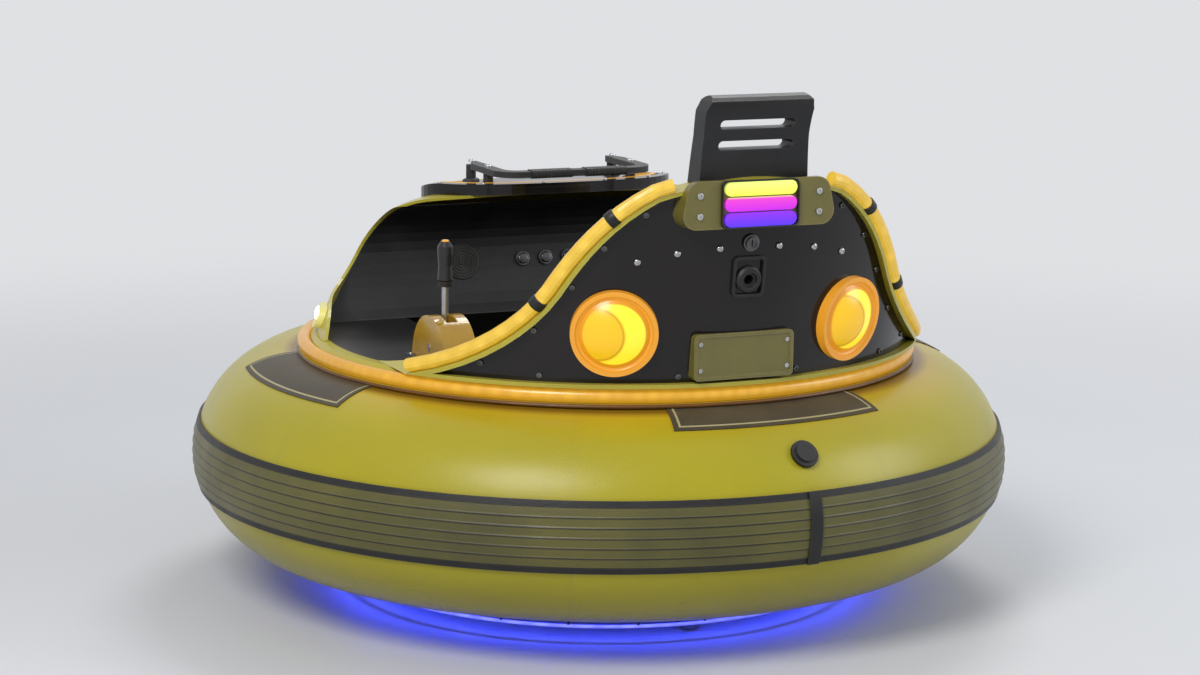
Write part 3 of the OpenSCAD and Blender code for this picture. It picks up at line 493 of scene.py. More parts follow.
lens = glowing("lamp_lens", (0.54, 0.29, 0.003), (0.80, 0.50, 0.006), 0.75)
tree, shader, place = lens
x, y, z = axes(tree, place)
folded = put(tree, "CombineXYZ", calc(tree, "ABSOLUTE", x), y, z).outputs[0]
lamp_frame = on_back(math.radians(22.7), 0.117, -PANEL_IN - 0.0447)
local = put(tree, "Mapping", vector_type="TEXTURE", Vector=folded, Location=lamp_frame.to_translation(),
            Rotation=lamp_frame.to_euler())
u, v = axes(tree, local.outputs[0])[:2]
u = product(tree, u, calc(tree, "SIGN", x))
shifted = reach_of(tree, calc(tree, "ADD", u, 0.034), v)
inside = fade(tree, reach_of(tree, u, v), 0.063, 0.060)
crescent = product(tree, fade(tree, shifted, 0.053, 0.058), inside)
line = product(tree, fade(tree, shifted, 0.0485, 0.051), fade(tree, shifted, 0.055, 0.0525), 0.6)
for socket, bright in (("Base Color", (0.60, 0.49, 0.02)), ("Emission Color", (0.92, 0.74, 0.03))):
    over(lens, crescent, bright, socket)
    over(lens, line, (0.34, 0.18, 0.0), socket)
    over(lens, calc(tree, "SUBTRACT", 1.0, inside), (0.48, 0.20, 0.004), socket)
print("lamp lens done")

# %% [markdown]
# The light module over the panel shows three bars, yellow above, magenta in the middle
# and violet below, and each melts a little into the next. One colour ramp over the
# height paints all three.

# %% Light module finish
tree, shader, place = glowing("module_bars", (0.8, 0.7, 0.2), (1.0, 0.95, 0.4), 0.55)
bands = put(tree, "ValToRGB", fade(tree, axes(tree, place)[2], 0.8758, 0.9628))
stops = bands.color_ramp.elements
stops[0].position, stops[0].color = 0.0, (0.07, 0.02, 0.75, 1)
stops[1].position, stops[1].color = 0.95, (0.80, 1.0, 0.18, 1)
for spot, colour in ((0.28, (0.20, 0.015, 0.80, 1)), (0.38, (0.50, 0.01, 0.62, 1)),
                     (0.62, (0.66, 0.04, 0.50, 1)), (0.69, (0.72, 0.85, 0.06, 1))):
    stops.new(spot).color = colour
for socket in ("Emission Color", "Base Color"):
    wire(tree, (bands.outputs["Color"], shader.inputs[socket]))
print("light module done")

# %% [markdown]
# The lever housings are shells of amber plastic that let some light through. Glass
# takes long to render and would show the empty inside, so part of the light passes
# and a faint glow stands for the light that scatters in the plastic. The mat's ribs
# are a relief that repeats every 12 mm. A lever is bare metal below its black grip.

# %% Amber plastic, ribbed mat and levers
GRIP_FROM = 0.709
layered("amber_shell", (0.52, 0.33, 0.03), (0.40, 0.24, 0.02), 14, (140, 0.0003), (0.10, 0.16), 0.04,
        Coat_Weight=0.4, Coat_Roughness=0.08, Transmission_Weight=0.55, IOR=1.45,
        Emission_Color=(1.0, 0.62, 0.08, 1), Emission_Strength=0.07)
mat_look = layered("ribbed_mat", (0.014, 0.014, 0.015), (0.03, 0.029, 0.028), 18, None, (0.55, 0.72), 0.35)
tree, shader, place = mat_look
ribs = fade(tree, calc(tree, "PINGPONG", axes(tree, place)[0], 0.006), 0.002, 0.0035)
wire(tree, (put(tree, "Bump", Strength=1.0, Distance=0.002, Height=ribs).outputs[0], shader.inputs["Normal"]))
lever = layered("lever_finish", (0.46, 0.46, 0.47), 0.38, 30, (420, 0.0003), (0.28, 0.4), 0.1, (0.4, 0.7),
                Metallic=1.0)
tree, shader, place = lever
held = fade(tree, axes(tree, place)[2], GRIP_FROM, GRIP_FROM + 0.0005)
over(lever, held, 0.012)
wire(tree, (calc(tree, "SUBTRACT", 1.0, held), shader.inputs["Metallic"]))
print("finishes in all:", len(finishes))

# %% [markdown]
# ## Modelling helpers
# Every added piece starts as a primitive and is shaped in edit mode, as by hand. Small
# helpers save typing. One starts a piece, one selects its faces or edges by their
# place, one steps its top in and out, and one rounds edges off. The last ones copy the
# shape to all its places, join the copies, and give the piece smooth shading, a
# finish, a material slot and the body it rides on.

# %% Helpers for pieces
made = {}
TOP = lambda c, n: n.z > 0.9

def start(primitive, **how):
    clear_selection()
    primitive(**how)
    bpy.ops.object.transform_apply(location=True, rotation=True, scale=True)
    bpy.ops.object.mode_set(mode="EDIT")
    return bpy.context.object

def cylinder(sides, radius, depth, z=0.0):
    how = {"vertices": sides, "radius": radius, "depth": depth, "location": (0, 0, z)}
    return start(bpy.ops.mesh.primitive_cylinder_add, **how)

def box(width, depth, height):
    piece = start(bpy.ops.mesh.primitive_cube_add, size=1)
    bpy.ops.transform.resize(value=(width, depth, height))
    return piece

def select_all():
    bpy.ops.mesh.select_all(action="SELECT")

def pick(piece, kind, wanted):
    bpy.ops.mesh.select_mode(type={"edges": "EDGE", "faces": "FACE"}[kind])
    bpy.ops.mesh.select_all(action="DESELECT")
    mesh = bmesh.from_edit_mesh(piece.data)
    mesh.normal_update()
    for part in getattr(mesh, kind):
        spots = [v.co for v in part.verts]
        facing = spots[1] - spots[0] if kind == "edges" else part.normal
        part.select_set(bool(wanted(sum(spots, Vector()) / len(spots), facing)))
    bmesh.update_edit_mesh(piece.data)

def extrude(z):
    bpy.ops.mesh.extrude_region_move(TRANSFORM_OT_translate={"value": (0, 0, z)})

def step_in(piece, *steps, wanted=TOP):
    """Each step insets the top by one width, then pushes what is inside up or down."""
    pick(piece, "faces", wanted)
    for inset, rise in steps:
        bpy.ops.mesh.inset(thickness=inset)
        if rise:
            extrude(rise)

def soften(piece, width, segments, wanted):
    pick(piece, "edges", wanted)
    bpy.ops.mesh.bevel(offset=width, segments=segments)
    return piece

def narrow(x, y):
    bpy.ops.transform.resize(value=(x, y, 1))

def take(piece):
    clear_selection()
    piece.select_set(True)
    bpy.context.view_layer.objects.active = piece

def finish(piece, name, finish_name, body="car", angle=35):
    take(piece)
    bpy.ops.object.transform_apply(location=True, rotation=True, scale=True)
    bpy.ops.object.shade_smooth_by_angle(angle=math.radians(angle))
    piece.data.materials.clear()
    piece.data.materials.append(finishes[finish_name])
    piece.name = piece.data.name = name
    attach(piece, body)
    made[name] = len(piece.data.polygons)
    return piece

def add(piece, name, places, finish_name, body="car", angle=35):
    clear_selection()
    copies = []
    for place in places:
        twin = piece.copy()
        twin.data = piece.data.copy()
        twin.data.transform(place)
        bpy.context.scene.collection.objects.link(twin)
        twin.select_set(True)
        copies.append(twin)
    bpy.data.objects.remove(piece)
    bpy.context.view_layer.objects.active = copies[0]
    if len(copies) > 1:
        bpy.ops.object.join()
    return finish(copies[0], name, finish_name, body, angle)

def show(*names):
    print("faces:", {name: made[name] for name in names})

print("modelling helpers ready")

# %% [markdown]
# ## Rear of the car
# ### Screws
# The dark panel is screwed on. A screw head is a short cylinder with a sunk round
# socket. The top is inset and pushed down, then the outer edge is rounded. Copies go
# round the panel, along the same curve as its edge.

# %% Panel screws
def screw(radius):
    piece = cylinder(18, radius, radius * 0.6, radius * 0.3)
    step_in(piece, (radius * 0.45, -radius * 0.35))
    return soften(piece, radius * 0.18, 2, lambda c, d: c.z > radius * 0.55 and c.xy.length > radius * 0.9)

ARCH_H = 0.430
ARCH = [[(0.606, 0.004), (0.508, 0.042), (0.422, 0.114), (0.379, 0.192)],
        [(0.379, 0.192), (0.353, 0.244), (0.306, 0.338), (0.204, ARCH_H - 0.036)],
        [(0.204, ARCH_H - 0.036), (0.160, ARCH_H - 0.0205), (0.080, ARCH_H), (0, ARCH_H)]]

def bezier(curve, t):
    weights = ((1 - t) ** 3, 3 * t * (1 - t) ** 2, 3 * t * t * (1 - t), t ** 3)
    return Vector([sum(w * spot[i] for w, spot in zip(weights, curve)) for i in (0, 1)])

def arch_point(place, inset=0.0):
    """A point of the arch, from 0 at its foot to 3 at its crown, as (x, height)."""
    part = min(int(place), 2)
    t = place - part
    along = (bezier(ARCH[part], min(t + 0.01, 1)) - bezier(ARCH[part], max(t - 0.01, 0))).normalized()
    return bezier(ARCH[part], t) + inset * Vector((-along.y, along.x))

def on_panel(x, height):
    return [on_back(sign * math.asin(x / (back_at(height) - PANEL_IN)), height) for sign in (-1, 1)]

panel_spots = []
for place in (0.42, 0.75, 1.15, 1.55, 1.9):
    panel_spots += on_panel(*arch_point(place, 0.037))
panel_spots += [on_back(turn, 0.021) for turn in (-0.62, -0.2, 0.2, 0.62)]
add(screw(0.006), "panel_screws", panel_spots, "dark_metal")

show("panel_screws")

# %% [markdown]
# ### Frames
# The three bars of the light module sit in a dark frame with rounded corners, and so
# does the charging socket. A plane is cut to that outline by bevelling its corners,
# its middle is inset and removed, and the rim that is left is drawn out to its
# thickness.

# %% Module frame, socket frame
BRACKET_Z, BRACKET_H = ARCH_H - 0.110, 0.094
bracket_y = BACK + back_at(BRACKET_Z) + 0.0135

def facing_back(xs, y, heights):
    return [at(x, -y, DECK + z) @ spin(QUARTER, "X") for x in xs for z in heights]

def rounded_plane(width, height, corner, segments):
    piece = start(bpy.ops.mesh.primitive_plane_add, size=1)
    narrow(width, height)
    select_all()
    bpy.ops.mesh.bevel(offset=corner, segments=segments, affect="VERTICES")
    select_all()
    return piece

def thicken(piece, height, soft):
    select_all()
    extrude(height)
    select_all()
    bpy.ops.mesh.normals_make_consistent(inside=False)
    return soften(piece, soft, 2, lambda c, d: c.z > height * 0.9)

def frame_ring(width, height, rim, deep, soft=0.0012):
    piece = rounded_plane(width, height, 0.012, 6)
    bpy.ops.mesh.inset(thickness=rim)
    bpy.ops.mesh.delete(type="FACE")
    return thicken(piece, deep, soft)

module_spots = facing_back((0,), bracket_y, (BRACKET_Z + BRACKET_H / 2,))
add(frame_ring(0.166, 0.0935, 0.0028, 0.0085), "module_frame", module_spots, "black_rubber")
port_spots = [on_back(0, 0.218, -PANEL_IN - 0.001)]
add(frame_ring(0.070, 0.082, 0.0065, 0.008), "port_frame", port_spots, "dash_plastic")
show("module_frame", "port_frame")

# %% [markdown]
# A key switch sits above the charging socket. It is turned from one disc: each inset
# and push makes a step, and the keyhole is a slot pressed into the middle. The blank
# number plate and the bracket have screws of their own.

# %% Key switch, plate and bracket screws
def step_edge(c, d):
    return abs(c.z - 0.010) < 0.0005 or abs(c.z - 0.006) < 0.0005 and c.xy.length > 0.0165

switch = cylinder(40, 0.017, 0.006, 0.003)
step_in(switch, (0.004, 0.004), (0.004, -0.002), (0.003, 0))
narrow(0.35, 1.4)
extrude(-0.004)
soften(switch, 0.0008, 2, step_edge)
add(switch, "key_switch", [on_back(0.0, 0.286)], "dark_metal")

plate_spots = facing_back((-0.094, 0.094), 0.6925, (0.034, 0.086))
add(screw(0.0045), "plate_screws", plate_spots, "zinc_steel")
bracket_spots = facing_back((-0.128, 0.128), bracket_y, (BRACKET_Z + 0.026, BRACKET_Z + 0.066))
add(screw(0.0065), "bracket_screws", bracket_spots, "zinc_steel")
show("key_switch", "plate_screws", "bracket_screws")

# %% [markdown]
# A row of polished dome-headed bolts holds the panel's inner frame. They catch the
# light as bright dots. A dome is a disc whose top edge is bevelled with many segments.
# The strip over the back is held by dark clips, and the one round the rim ends in
# caps. Both are sleeves that go round the strip, with rounded ends. A sleeve is
# modelled along Z, and each copy is turned to the strip's direction at its place.

# %% Dome bolts, strip clips and end caps
bolt = cylinder(28, 0.0075, 0.006, 0.003)
soften(bolt, 0.0052, 6, lambda c, d: c.z > 0.0055)
step_in(bolt, (0.0012, -0.001), wanted=lambda c, n: n.z > 0.99 and c.z > 0.0055)
bolt_spots = []
for x, height in ((0.064, 0.276), (0.148, 0.268), (0.222, 0.252)):
    bolt_spots += on_panel(x, height)
add(bolt, "dome_bolts", bolt_spots, "bright_metal")

def sleeve(radius, length):
    piece = cylinder(28, radius, length)
    step_in(piece, (0.0018, 0), wanted=lambda c, n: abs(n.z) > 0.9)
    return soften(piece, 0.0014, 2, lambda c, d: abs(c.z) > length * 0.49 and c.xy.length > radius * 0.97)

def strip_place(place, sign):
    x, height = arch_point(place)
    return Vector((sign * x, -BACK - math.sqrt((back_at(height) - 0.006) ** 2 - x * x), DECK + height))

def rim_place(angle):
    a = math.radians(angle)
    return Vector((0.645 * math.cos(a), -BACK + 0.645 * math.sin(a), 0.5346))

def towards(spot, ahead):
    return Matrix.Translation(spot) @ (ahead - spot).to_track_quat("Z", "Y").to_matrix().to_4x4()

clip_spots = [towards(strip_place(p, s), strip_place(p + 0.02, s)) for p in (0.9, 1.72) for s in (-1, 1)]
add(sleeve(0.0162, 0.020), "strip_clips", clip_spots, "black_rubber")
cap_spots = [towards(rim_place(a), rim_place(a + 0.5)) for a in (69.4, 110.6)]
add(sleeve(0.0148, 0.016), "rim_caps", cap_spots, "black_rubber")
show("dome_bolts", "strip_clips", "rim_caps")

# %% [markdown]
# ## Cushions
# The seat and the back are foam pads in a soft hide. A real cover is cut a little
# small and pulled over the foam, so its faces crown and its sides draw in between the
# corners. That comes from a cloth simulation: the pad's shape is meshed evenly, blown
# up a little from inside, and left to settle for twenty frames. The alternative, a
# smoothed box, looks like soap. How far a point may move is capped, and the underside
# is held flat, because it lies on the bench. The channels are pressed in afterwards,
# where the seams would pull the hide down.

# %% Puffed cushions
def puffed(node, name, cap, rest, channels, deep):
    """Blows up a copy of the pad; rest maps the pad to a frame whose Z faces out of it."""
    piece = nodes[node].copy()
    piece.data = nodes[node].data.copy()
    bpy.context.scene.collection.objects.link(piece)
    take(piece)
    piece.data.materials.clear()
    bpy.ops.object.mode_set(mode="EDIT")
    select_all()
    bpy.ops.mesh.remove_doubles(threshold=0.0001)
    bpy.ops.object.mode_set(mode="OBJECT")
    piece.data.transform(rest.inverted())
    corners = [v.co.copy() for v in piece.data.vertices]
    low = Vector([min(c[i] for c in corners) for i in range(3)])
    high = Vector([max(c[i] for c in corners) for i in range(3)])
    middle = (low + high) / 2
    shrink = Matrix.Diagonal((*[1 - 0.010 / (high[i] - low[i]) for i in (0, 1)], 0.86, 1))
    base = Vector((middle.x, middle.y, low.z))
    piece.data.transform(Matrix.Translation(base) @ shrink @ Matrix.Translation(-base))
    piece.data.remesh_voxel_size = 0.006
    bpy.ops.object.voxel_remesh()
    before = [v.co.copy() for v in piece.data.vertices]
    cloth = piece.modifiers.new("cloth", "CLOTH")
    cloth.settings.use_pressure = True
    cloth.settings.uniform_pressure_force = 4
    cloth.settings.effector_weights.gravity = 0
    for number in range(1, 21):
        bpy.context.scene.frame_set(number)
    bpy.ops.object.modifier_apply(modifier=cloth.name)
    bpy.context.scene.frame_set(1)
    for vertex, start_at in zip(piece.data.vertices, before):
        step = vertex.co - start_at
        if step.length > cap:
            vertex.co = start_at + step.normalized() * cap
        vertex.co.z = max(vertex.co.z, low.z + 0.0004)
        rise = max(0.0, (vertex.co.z - low.z) / (high.z - low.z) - 0.45)
        for x in channels:
            vertex.co.z -= rise * deep * math.exp(-((vertex.co.x - x) / 0.006) ** 2)
    take(piece)
    smooth = piece.modifiers.new("smooth", "SUBSURF")
    smooth.levels = smooth.render_levels = 1
    bpy.ops.object.modifier_apply(modifier=smooth.name)
    piece.data.transform(rest)
    finish(piece, name, "seat_hide", angle=80)
    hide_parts(node)

BACK_LEAN = math.radians(28.5)
lean = at(0, -0.314, 0.300) @ spin(BACK_LEAN, "X")
puffed("seat_cushion", "seat_pad", 0.012, Matrix.Identity(4), (-0.22, -0.11, 0.0, 0.11, 0.22), 0.020)
puffed("back_cushion", "back_pad", 0.010, lean @ spin(-QUARTER, "X"), (-0.165, -0.055, 0.055, 0.165), 0.018)
show("seat_pad", "back_pad")

# %% [markdown]
# Piping hides the seam round each pad. It is a thin round cord in a strip of the same
# hide. The points of a circle are moved onto the seam's outline, and the outline is
# turned into a curve, given a round section, and turned back into a mesh.

# %% Piping
def piping(name, outline, place, thick=0.0032, finish_name="piping"):
    piece = start(bpy.ops.mesh.primitive_circle_add, vertices=len(outline), radius=1)
    mesh = bmesh.from_edit_mesh(piece.data)
    mesh.verts.ensure_lookup_table()
    for vertex, spot in zip(mesh.verts, outline):
        vertex.co = (*spot, 0) if len(spot) == 2 else spot
    bmesh.update_edit_mesh(piece.data)
    bpy.ops.object.mode_set(mode="OBJECT")
    bpy.ops.object.convert(target="CURVE")
    cord = bpy.context.object.data
    cord.bevel_depth, cord.bevel_resolution, cord.use_fill_caps = thick, 3, True
    bpy.ops.object.convert(target="MESH")
    bpy.context.object.data.transform(place)
    finish(bpy.context.object, name, finish_name, angle=60)

def rounded_outline(half_x, low_y, high_y, corner, steps=8):
    spots = []
    left, right, low, high = corner - half_x, half_x - corner, low_y + corner, high_y - corner
    for cx, cy, first in ((right, high, 0), (left, high, 90), (left, low, 180), (right, low, 270)):
        for i in range(steps + 1):
            a = math.radians(first + 90 * i / steps)
            spots.append((cx + corner * math.cos(a), cy + corner * math.sin(a)))
    return spots

piping("seat_piping", rounded_outline(0.3285, -0.3025, 0.0505, 0.042), at(0, 0, 0.346))
half = [(0.247, 0.080), (0.2585, 0.112), (0.2585, 0.269), (0.2025, 0.617), (0.188, 0.6325)]
outline = [(-0.247, 0.080), *half, *[(-x, y) for x, y in half[:0:-1]]]
piping("back_piping", outline, at(0, -0.314, 0.300) @ spin(BACK_LEAN + QUARTER, "X") @ at(0, 0, -0.036))
show("seat_piping", "back_piping")

# %% [markdown]
# ## Hood and cockpit
# The pods at the sides of the hood hold three small lamps each, and those at its front
# hold four. A lamp is a domed lens in a round collar: one disc, inset twice, with its
# middle pushed out. The hood leans in by 21 degrees, so each copy is turned to face
# square off it. A bead runs round the arched recess in the nose. Its points lie on
# the hood's cone, so the bead hugs the surface all the way round.

# %% Small lamps, nose bead and band screws
HOOD_R, HOOD_LEAN = 0.617, math.radians(21)
POD_LAMP_R = 0.0098

def on_hood(angle, height, out):
    foot = at(HOOD_R - height * math.tan(HOOD_LEAN), 0, height)
    return AXLE @ spin(angle, "Z") @ foot @ spin(QUARTER - HOOD_LEAN, "Y") @ at(0, 0, out)

lamp = cylinder(20, POD_LAMP_R, 0.003, 0.001)
step_in(lamp, (POD_LAMP_R * 0.18, -0.0012), (POD_LAMP_R * 0.06, 0.0026))
narrow(0.8, 0.8)
bpy.ops.mesh.inset(thickness=POD_LAMP_R * 0.25)
bpy.ops.transform.translate(value=(0, 0, 0.0008))
PODS = ((19, 0.034, (-0.030, 0, 0.030)), (50, 0.040, (-0.036, -0.012, 0.012, 0.036)))
pod_spots = [on_hood(math.radians(turn) + shift / HOOD_R, height, 0.0143)
             for angle, height, shifts in PODS for turn in (angle, 180 - angle) for shift in shifts]
add(lamp, "pod_lamps", pod_spots, "white_dot")

def nose_point(x, height, out=0.006):
    radius = HOOD_R + out / math.cos(HOOD_LEAN) - height * math.tan(HOOD_LEAN)
    return Vector((x, -BACK + math.sqrt(radius ** 2 - x * x), DECK + height))

HALF, FOOT, SPRING = 0.062, 0.023, 0.103
outline = [(HALF, FOOT + 0.016 * i) for i in range(5)]
outline += [(HALF * math.cos(a), SPRING + HALF * math.sin(a)) for a in map(math.radians, range(0, 181, 12))]
outline += [(-HALF, FOOT + 0.016 * i) for i in range(4, -1, -1)]
outline += [(-HALF + 0.0155 * i, FOOT) for i in range(1, 8)]
bead = [nose_point(x, z) for x, z in outline]
piping("nose_bead", bead, Matrix.Identity(4), 0.0035, "black_rubber")
band_spots = [on_hood(QUARTER + sign * math.radians(16), height, out) for sign in (-1, 1)
              for height, out in ((0.030, 0.0088), (0.100, 0.0088), (0.170, 0.0064))]
add(screw(0.0055), "band_screws", band_spots, "zinc_steel")
show("pod_lamps", "nose_bead", "band_screws")

# %% [markdown]
# ### Dashboard
# Below the hood's edge the dashboard faces the seat. It carries a speaker at each side
# and a row of three buttons. The speaker is one disc whose top is inset and pushed in
# and out in turn, which cuts round grooves; the button is a dome in a collar.

# %% Speakers and buttons
def on_dash(*xs):
    return [at(x, 0.3085, DECK + 0.108) @ spin(math.atan2(0.972, 0.236), "X") for x in xs]

speaker = cylinder(48, 0.040, 0.005, 0.002)
step_in(speaker, (0.004, -0.002), (0.0034, 0.002), *[(0.003, -0.002), (0.0034, 0.002)] * 4, (0.003, 0))
soften(speaker, 0.0015, 3, lambda c, d: c.z > 0.004 and c.xy.length > 0.0385)
add(speaker, "speakers", on_dash(-0.2, 0.2), "black_rubber")
button = cylinder(32, 0.016, 0.006, 0.0025)
step_in(button, (0.0035, -0.002), (0.0006, 0.006))
soften(button, 0.0025, 4, lambda c, d: c.z > 0.0085 and c.xy.length < 0.0125)
soften(button, 0.0008, 2, lambda c, d: abs(c.z - 0.0055) < 0.0004 and c.xy.length > 0.0115)
add(button, "buttons", on_dash(-0.055, 0.0, 0.055), "dark_metal")
show("speakers", "buttons")

# %% [markdown]
# ### Grab bar and visor
# The flat bar over the visor has a soft sleeve where hands hold it. The sleeve is a
# box drawn over the bar, with grooves: it is subdivided along its length, every second
# ring of faces is pulled in, and the long edges are rounded. Screws go through the bar
# into the posts, and flanges spread the posts' load on the visor.

# %% Sleeves, screws and flanges
BAR_Z, GRIP, CUTS = DECK + 0.321, 0.095, 24
grip = soften(box(GRIP, 0.0325, 0.0185), 0.006, 4, lambda c, d: abs(d.x) > 0.9 * GRIP)
bpy.ops.object.mode_set(mode="OBJECT")
bpy.ops.object.mode_set(mode="EDIT")
for cut in range(1, CUTS):
    select_all()
    bpy.ops.mesh.bisect(plane_co=(GRIP * (cut / CUTS - 0.5), 0, 0), plane_no=(1, 0, 0))
pick(grip, "faces", lambda c, n: abs(n.x) < 0.5 and int((c.x + GRIP / 2) / (GRIP / CUTS)) % 2)
bpy.ops.mesh.inset(thickness=0.0008, use_individual=False, depth=-0.0009)
add(grip, "bar_grips", [at(x, 0.132, BAR_Z) for x in (-0.064, 0.064)], "black_rubber")
bar_spots = [at(x, y, BAR_Z + 0.0069) for x in (-0.17, 0.17) for y in (0.228, 0.326)]
add(screw(0.0075), "bar_screws", bar_spots, "zinc_steel")

CROWN_LEAN, CROWN_R, SHOULDER_R = math.radians(1.8), 0.3763, 0.200

def on_crown(x, y, layer):
    """A place on a layer over the hood: its crown leans a little, then a round shoulder begins."""
    turn, reach, round_r = math.atan2(y + BACK, x), math.hypot(x, y + BACK), SHOULDER_R + layer
    lean = max(CROWN_LEAN, math.asin(max(reach - CROWN_R, 0) / round_r))
    short = CROWN_R + round_r * math.sin(lean) - reach
    height = 0.06907 + round_r * math.cos(lean) + short * math.tan(lean)
    return AXLE @ spin(turn, "Z") @ at(reach, 0, height) @ spin(lean, "Y")

flange = cylinder(32, 0.019, 0.004, 0.002)
step_in(flange, (0.005, 0))
bpy.ops.transform.translate(value=(0, 0, 0.003))
soften(flange, 0.0008, 2, lambda c, d: abs(c.z - 0.004) < 0.0005 and c.xy.length > 0.018)
flange_spots = [on_crown(x, y, 0.0158) for x in (-0.17, 0.17) for y in (0.228, 0.330)]
add(flange, "post_flanges", flange_spots, "bar_paint")
trim_spots = [on_crown(0.279 * math.cos(a), 0.305 + 0.164 * math.sin(a), 0.024)
              for a in map(math.radians, range(15, 375, 30))]
add(screw(0.0048), "trim_screws", trim_spots, "zinc_steel")
show("bar_grips", "bar_screws", "post_flanges", "trim_screws")

# %% [markdown]
# ### Levers and their housings
# Each amber housing stands in a thin screwed frame. A rubber collar closes the grip at
# its foot, and a button sits on its top. These two ride on the lever, so they tilt
# with it, while the frame stays on the car.

# %% Housing frames, collars and buttons
LEVER_X, LEVER_Y = 0.455, -0.25
foot_spots = [at(x, LEVER_Y, DECK) for x in (-LEVER_X, LEVER_X)]
foot = frame_ring(0.094, 0.216, 0.0112, 0.003, soft=0.0008)
add(foot, "housing_feet", foot_spots, "bar_paint")
screw_spots = [at(x + dx, LEVER_Y + dy, DECK + 0.0028)
               for x in (-LEVER_X, LEVER_X) for dx in (-0.0413, 0.0413) for dy in (-0.085, 0.085)]
add(screw(0.0042), "foot_screws", screw_spots, "zinc_steel")
for side, x in (("left", -LEVER_X), ("right", LEVER_X)):
    collar = cylinder(32, 0.0135, 0.012)
    pick(collar, "faces", TOP)
    for rise, size in ((0.002, 0.86), (0.004, 1.16), (0.002, 0.8)):
        extrude(rise)
        narrow(size, size)
    soften(collar, 0.0009, 2, lambda c, d: abs(d.z) < 0.0005 and c.xy.length > 0.010)
    add(collar, "collar_" + side, [at(x, LEVER_Y, 0.7115)], "black_rubber", "lever_" + side)
    thumb = soften(cylinder(24, 0.0075, 0.004), 0.0022, 4, lambda c, d: c.z > 0.0015)
    add(thumb, "thumb_button_" + side, [at(x, LEVER_Y, 0.7985)], "amber_ring", "lever_" + side)
show("housing_feet", "foot_screws", "collar_left", "thumb_button_left")

# %% [markdown]
# ### Valve and rim
# The valve cap has ribs so that a wet hand can turn it. One rib is made and copied
# round. Under the lit rim strip a rubber gasket closes the joint between the tub and the
# ring. Its brown colour is painted shade: it makes the fine brown line below the light.

# %% Valve ribs and rim gasket
def all_round(step, place):
    return [spin(math.radians(a), "Z") @ place for a in range(0, 360, step)]

def torus(radius, thick, sides, place, name, finish_name):
    how = {"major_radius": radius, "minor_radius": thick, "major_segments": sides, "minor_segments": 10}
    piece = start(bpy.ops.mesh.primitive_torus_add, location=place, **how)
    finish(piece, name, finish_name)

valve = (spin(math.radians(RING_TURN), "Z") @ at(0, -RING_MID, TUBE_Z)
         @ spin(QUARTER - math.radians(39), "X") @ at(0, 0, TUBE_R + 0.0003))
rib = soften(box(0.0022, 0.0028, 0.0062), 0.0006, 2, lambda c, d: abs(d.z) > 0.005)
rib_spots = [valve @ spot for spot in all_round(12, at(0.0279, 0, 0.004))]
add(rib, "valve_ribs", rib_spots, "black_rubber")
# The gasket's brown line below the rim strip is painted shade.
torus(0.6553, 0.0044, 160, (0, -BACK, 0.5160), "rim_gasket", "gasket_shade_brown")
show("valve_ribs", "rim_gasket")

# %% [markdown]
# ## Under the car
# ### Tyres
# The two driven wheels have solid rubber tyres with a block tread. The tread is made
# from a plain ring: its outer face is divided, the blocks are the faces that stay, and
# the grooves between them are inset and pushed in.

# %% Tread blocks
TYRE_R, TYRE_W, BLOCKS, ROW_EDGE = 0.0998, 0.0496, 30, 0.0055
WHEEL_X, WHEEL_Z = 0.430, 0.1

def groove(c, n):
    turn = math.atan2(c.y, c.x) * BLOCKS / math.pi
    row = 0 if abs(c.z) < ROW_EDGE else 1
    return c.xy.length > TYRE_R * 0.985 and abs(c.z) < TYRE_W / 2 - 0.006 and int(math.floor(turn)) % 2 == row

for side, x in (("left", -WHEEL_X), ("right", WHEEL_X)):
    tyre = cylinder(BLOCKS * 2, TYRE_R, TYRE_W)
    step_in(tyre, (TYRE_R - 0.0703, 0), wanted=lambda c, n: abs(n.z) > 0.9)
    bpy.ops.mesh.delete(type="FACE")
    soften(tyre, 0.007, 3, lambda c, d: abs(abs(c.z) - TYRE_W / 2) < 0.0005 and c.xy.length > TYRE_R * 0.97)
    for cut in (-ROW_EDGE, ROW_EDGE):
        select_all()
        bpy.ops.mesh.bisect(plane_co=(0, 0, cut), plane_no=(0, 0, 1))
    pick(tyre, "faces", groove)
    bpy.ops.mesh.inset(thickness=0.0014, depth=-0.003, use_individual=True)
    pick(tyre, "edges", lambda c, d: c.xy.length < 0.072)
    bpy.ops.mesh.bridge_edge_loops()
    select_all()
    bpy.ops.mesh.normals_make_consistent(inside=False)
    place = at(x, 0, WHEEL_Z) @ spin(QUARTER, "Y")
    tread = add(tyre, "tread_tyre_" + side, [place], "tyre_rubber", "wheel_" + side, angle=30)
    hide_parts("tyre_" + side)
show("tread_tyre_left", "tread_tyre_right")

# %% [markdown]
# ### Hub bolts, axle nuts and other fasteners
# A hex bolt is a six-sided cylinder on a washer. It is modelled in two sizes, and
# copied to the hubs, the casters' plates and the wheel brackets. The casters' wheels
# turn on axles that end in hex nuts.

# %% Hex bolts and axle nuts
BOLT_R = 0.044

def hex_bolt(radius):
    piece = cylinder(24, radius * 1.5, radius * 0.3, radius * 0.15)
    middle = (0, 0, radius * 0.7)
    bpy.ops.mesh.primitive_cylinder_add(vertices=6, radius=radius, depth=radius * 0.8, location=middle)
    return soften(piece, radius * 0.12, 2, lambda c, d: c.z > radius)

def facing_down(spots):
    return [at(*spot) @ spin(math.pi, "X") for spot in spots]

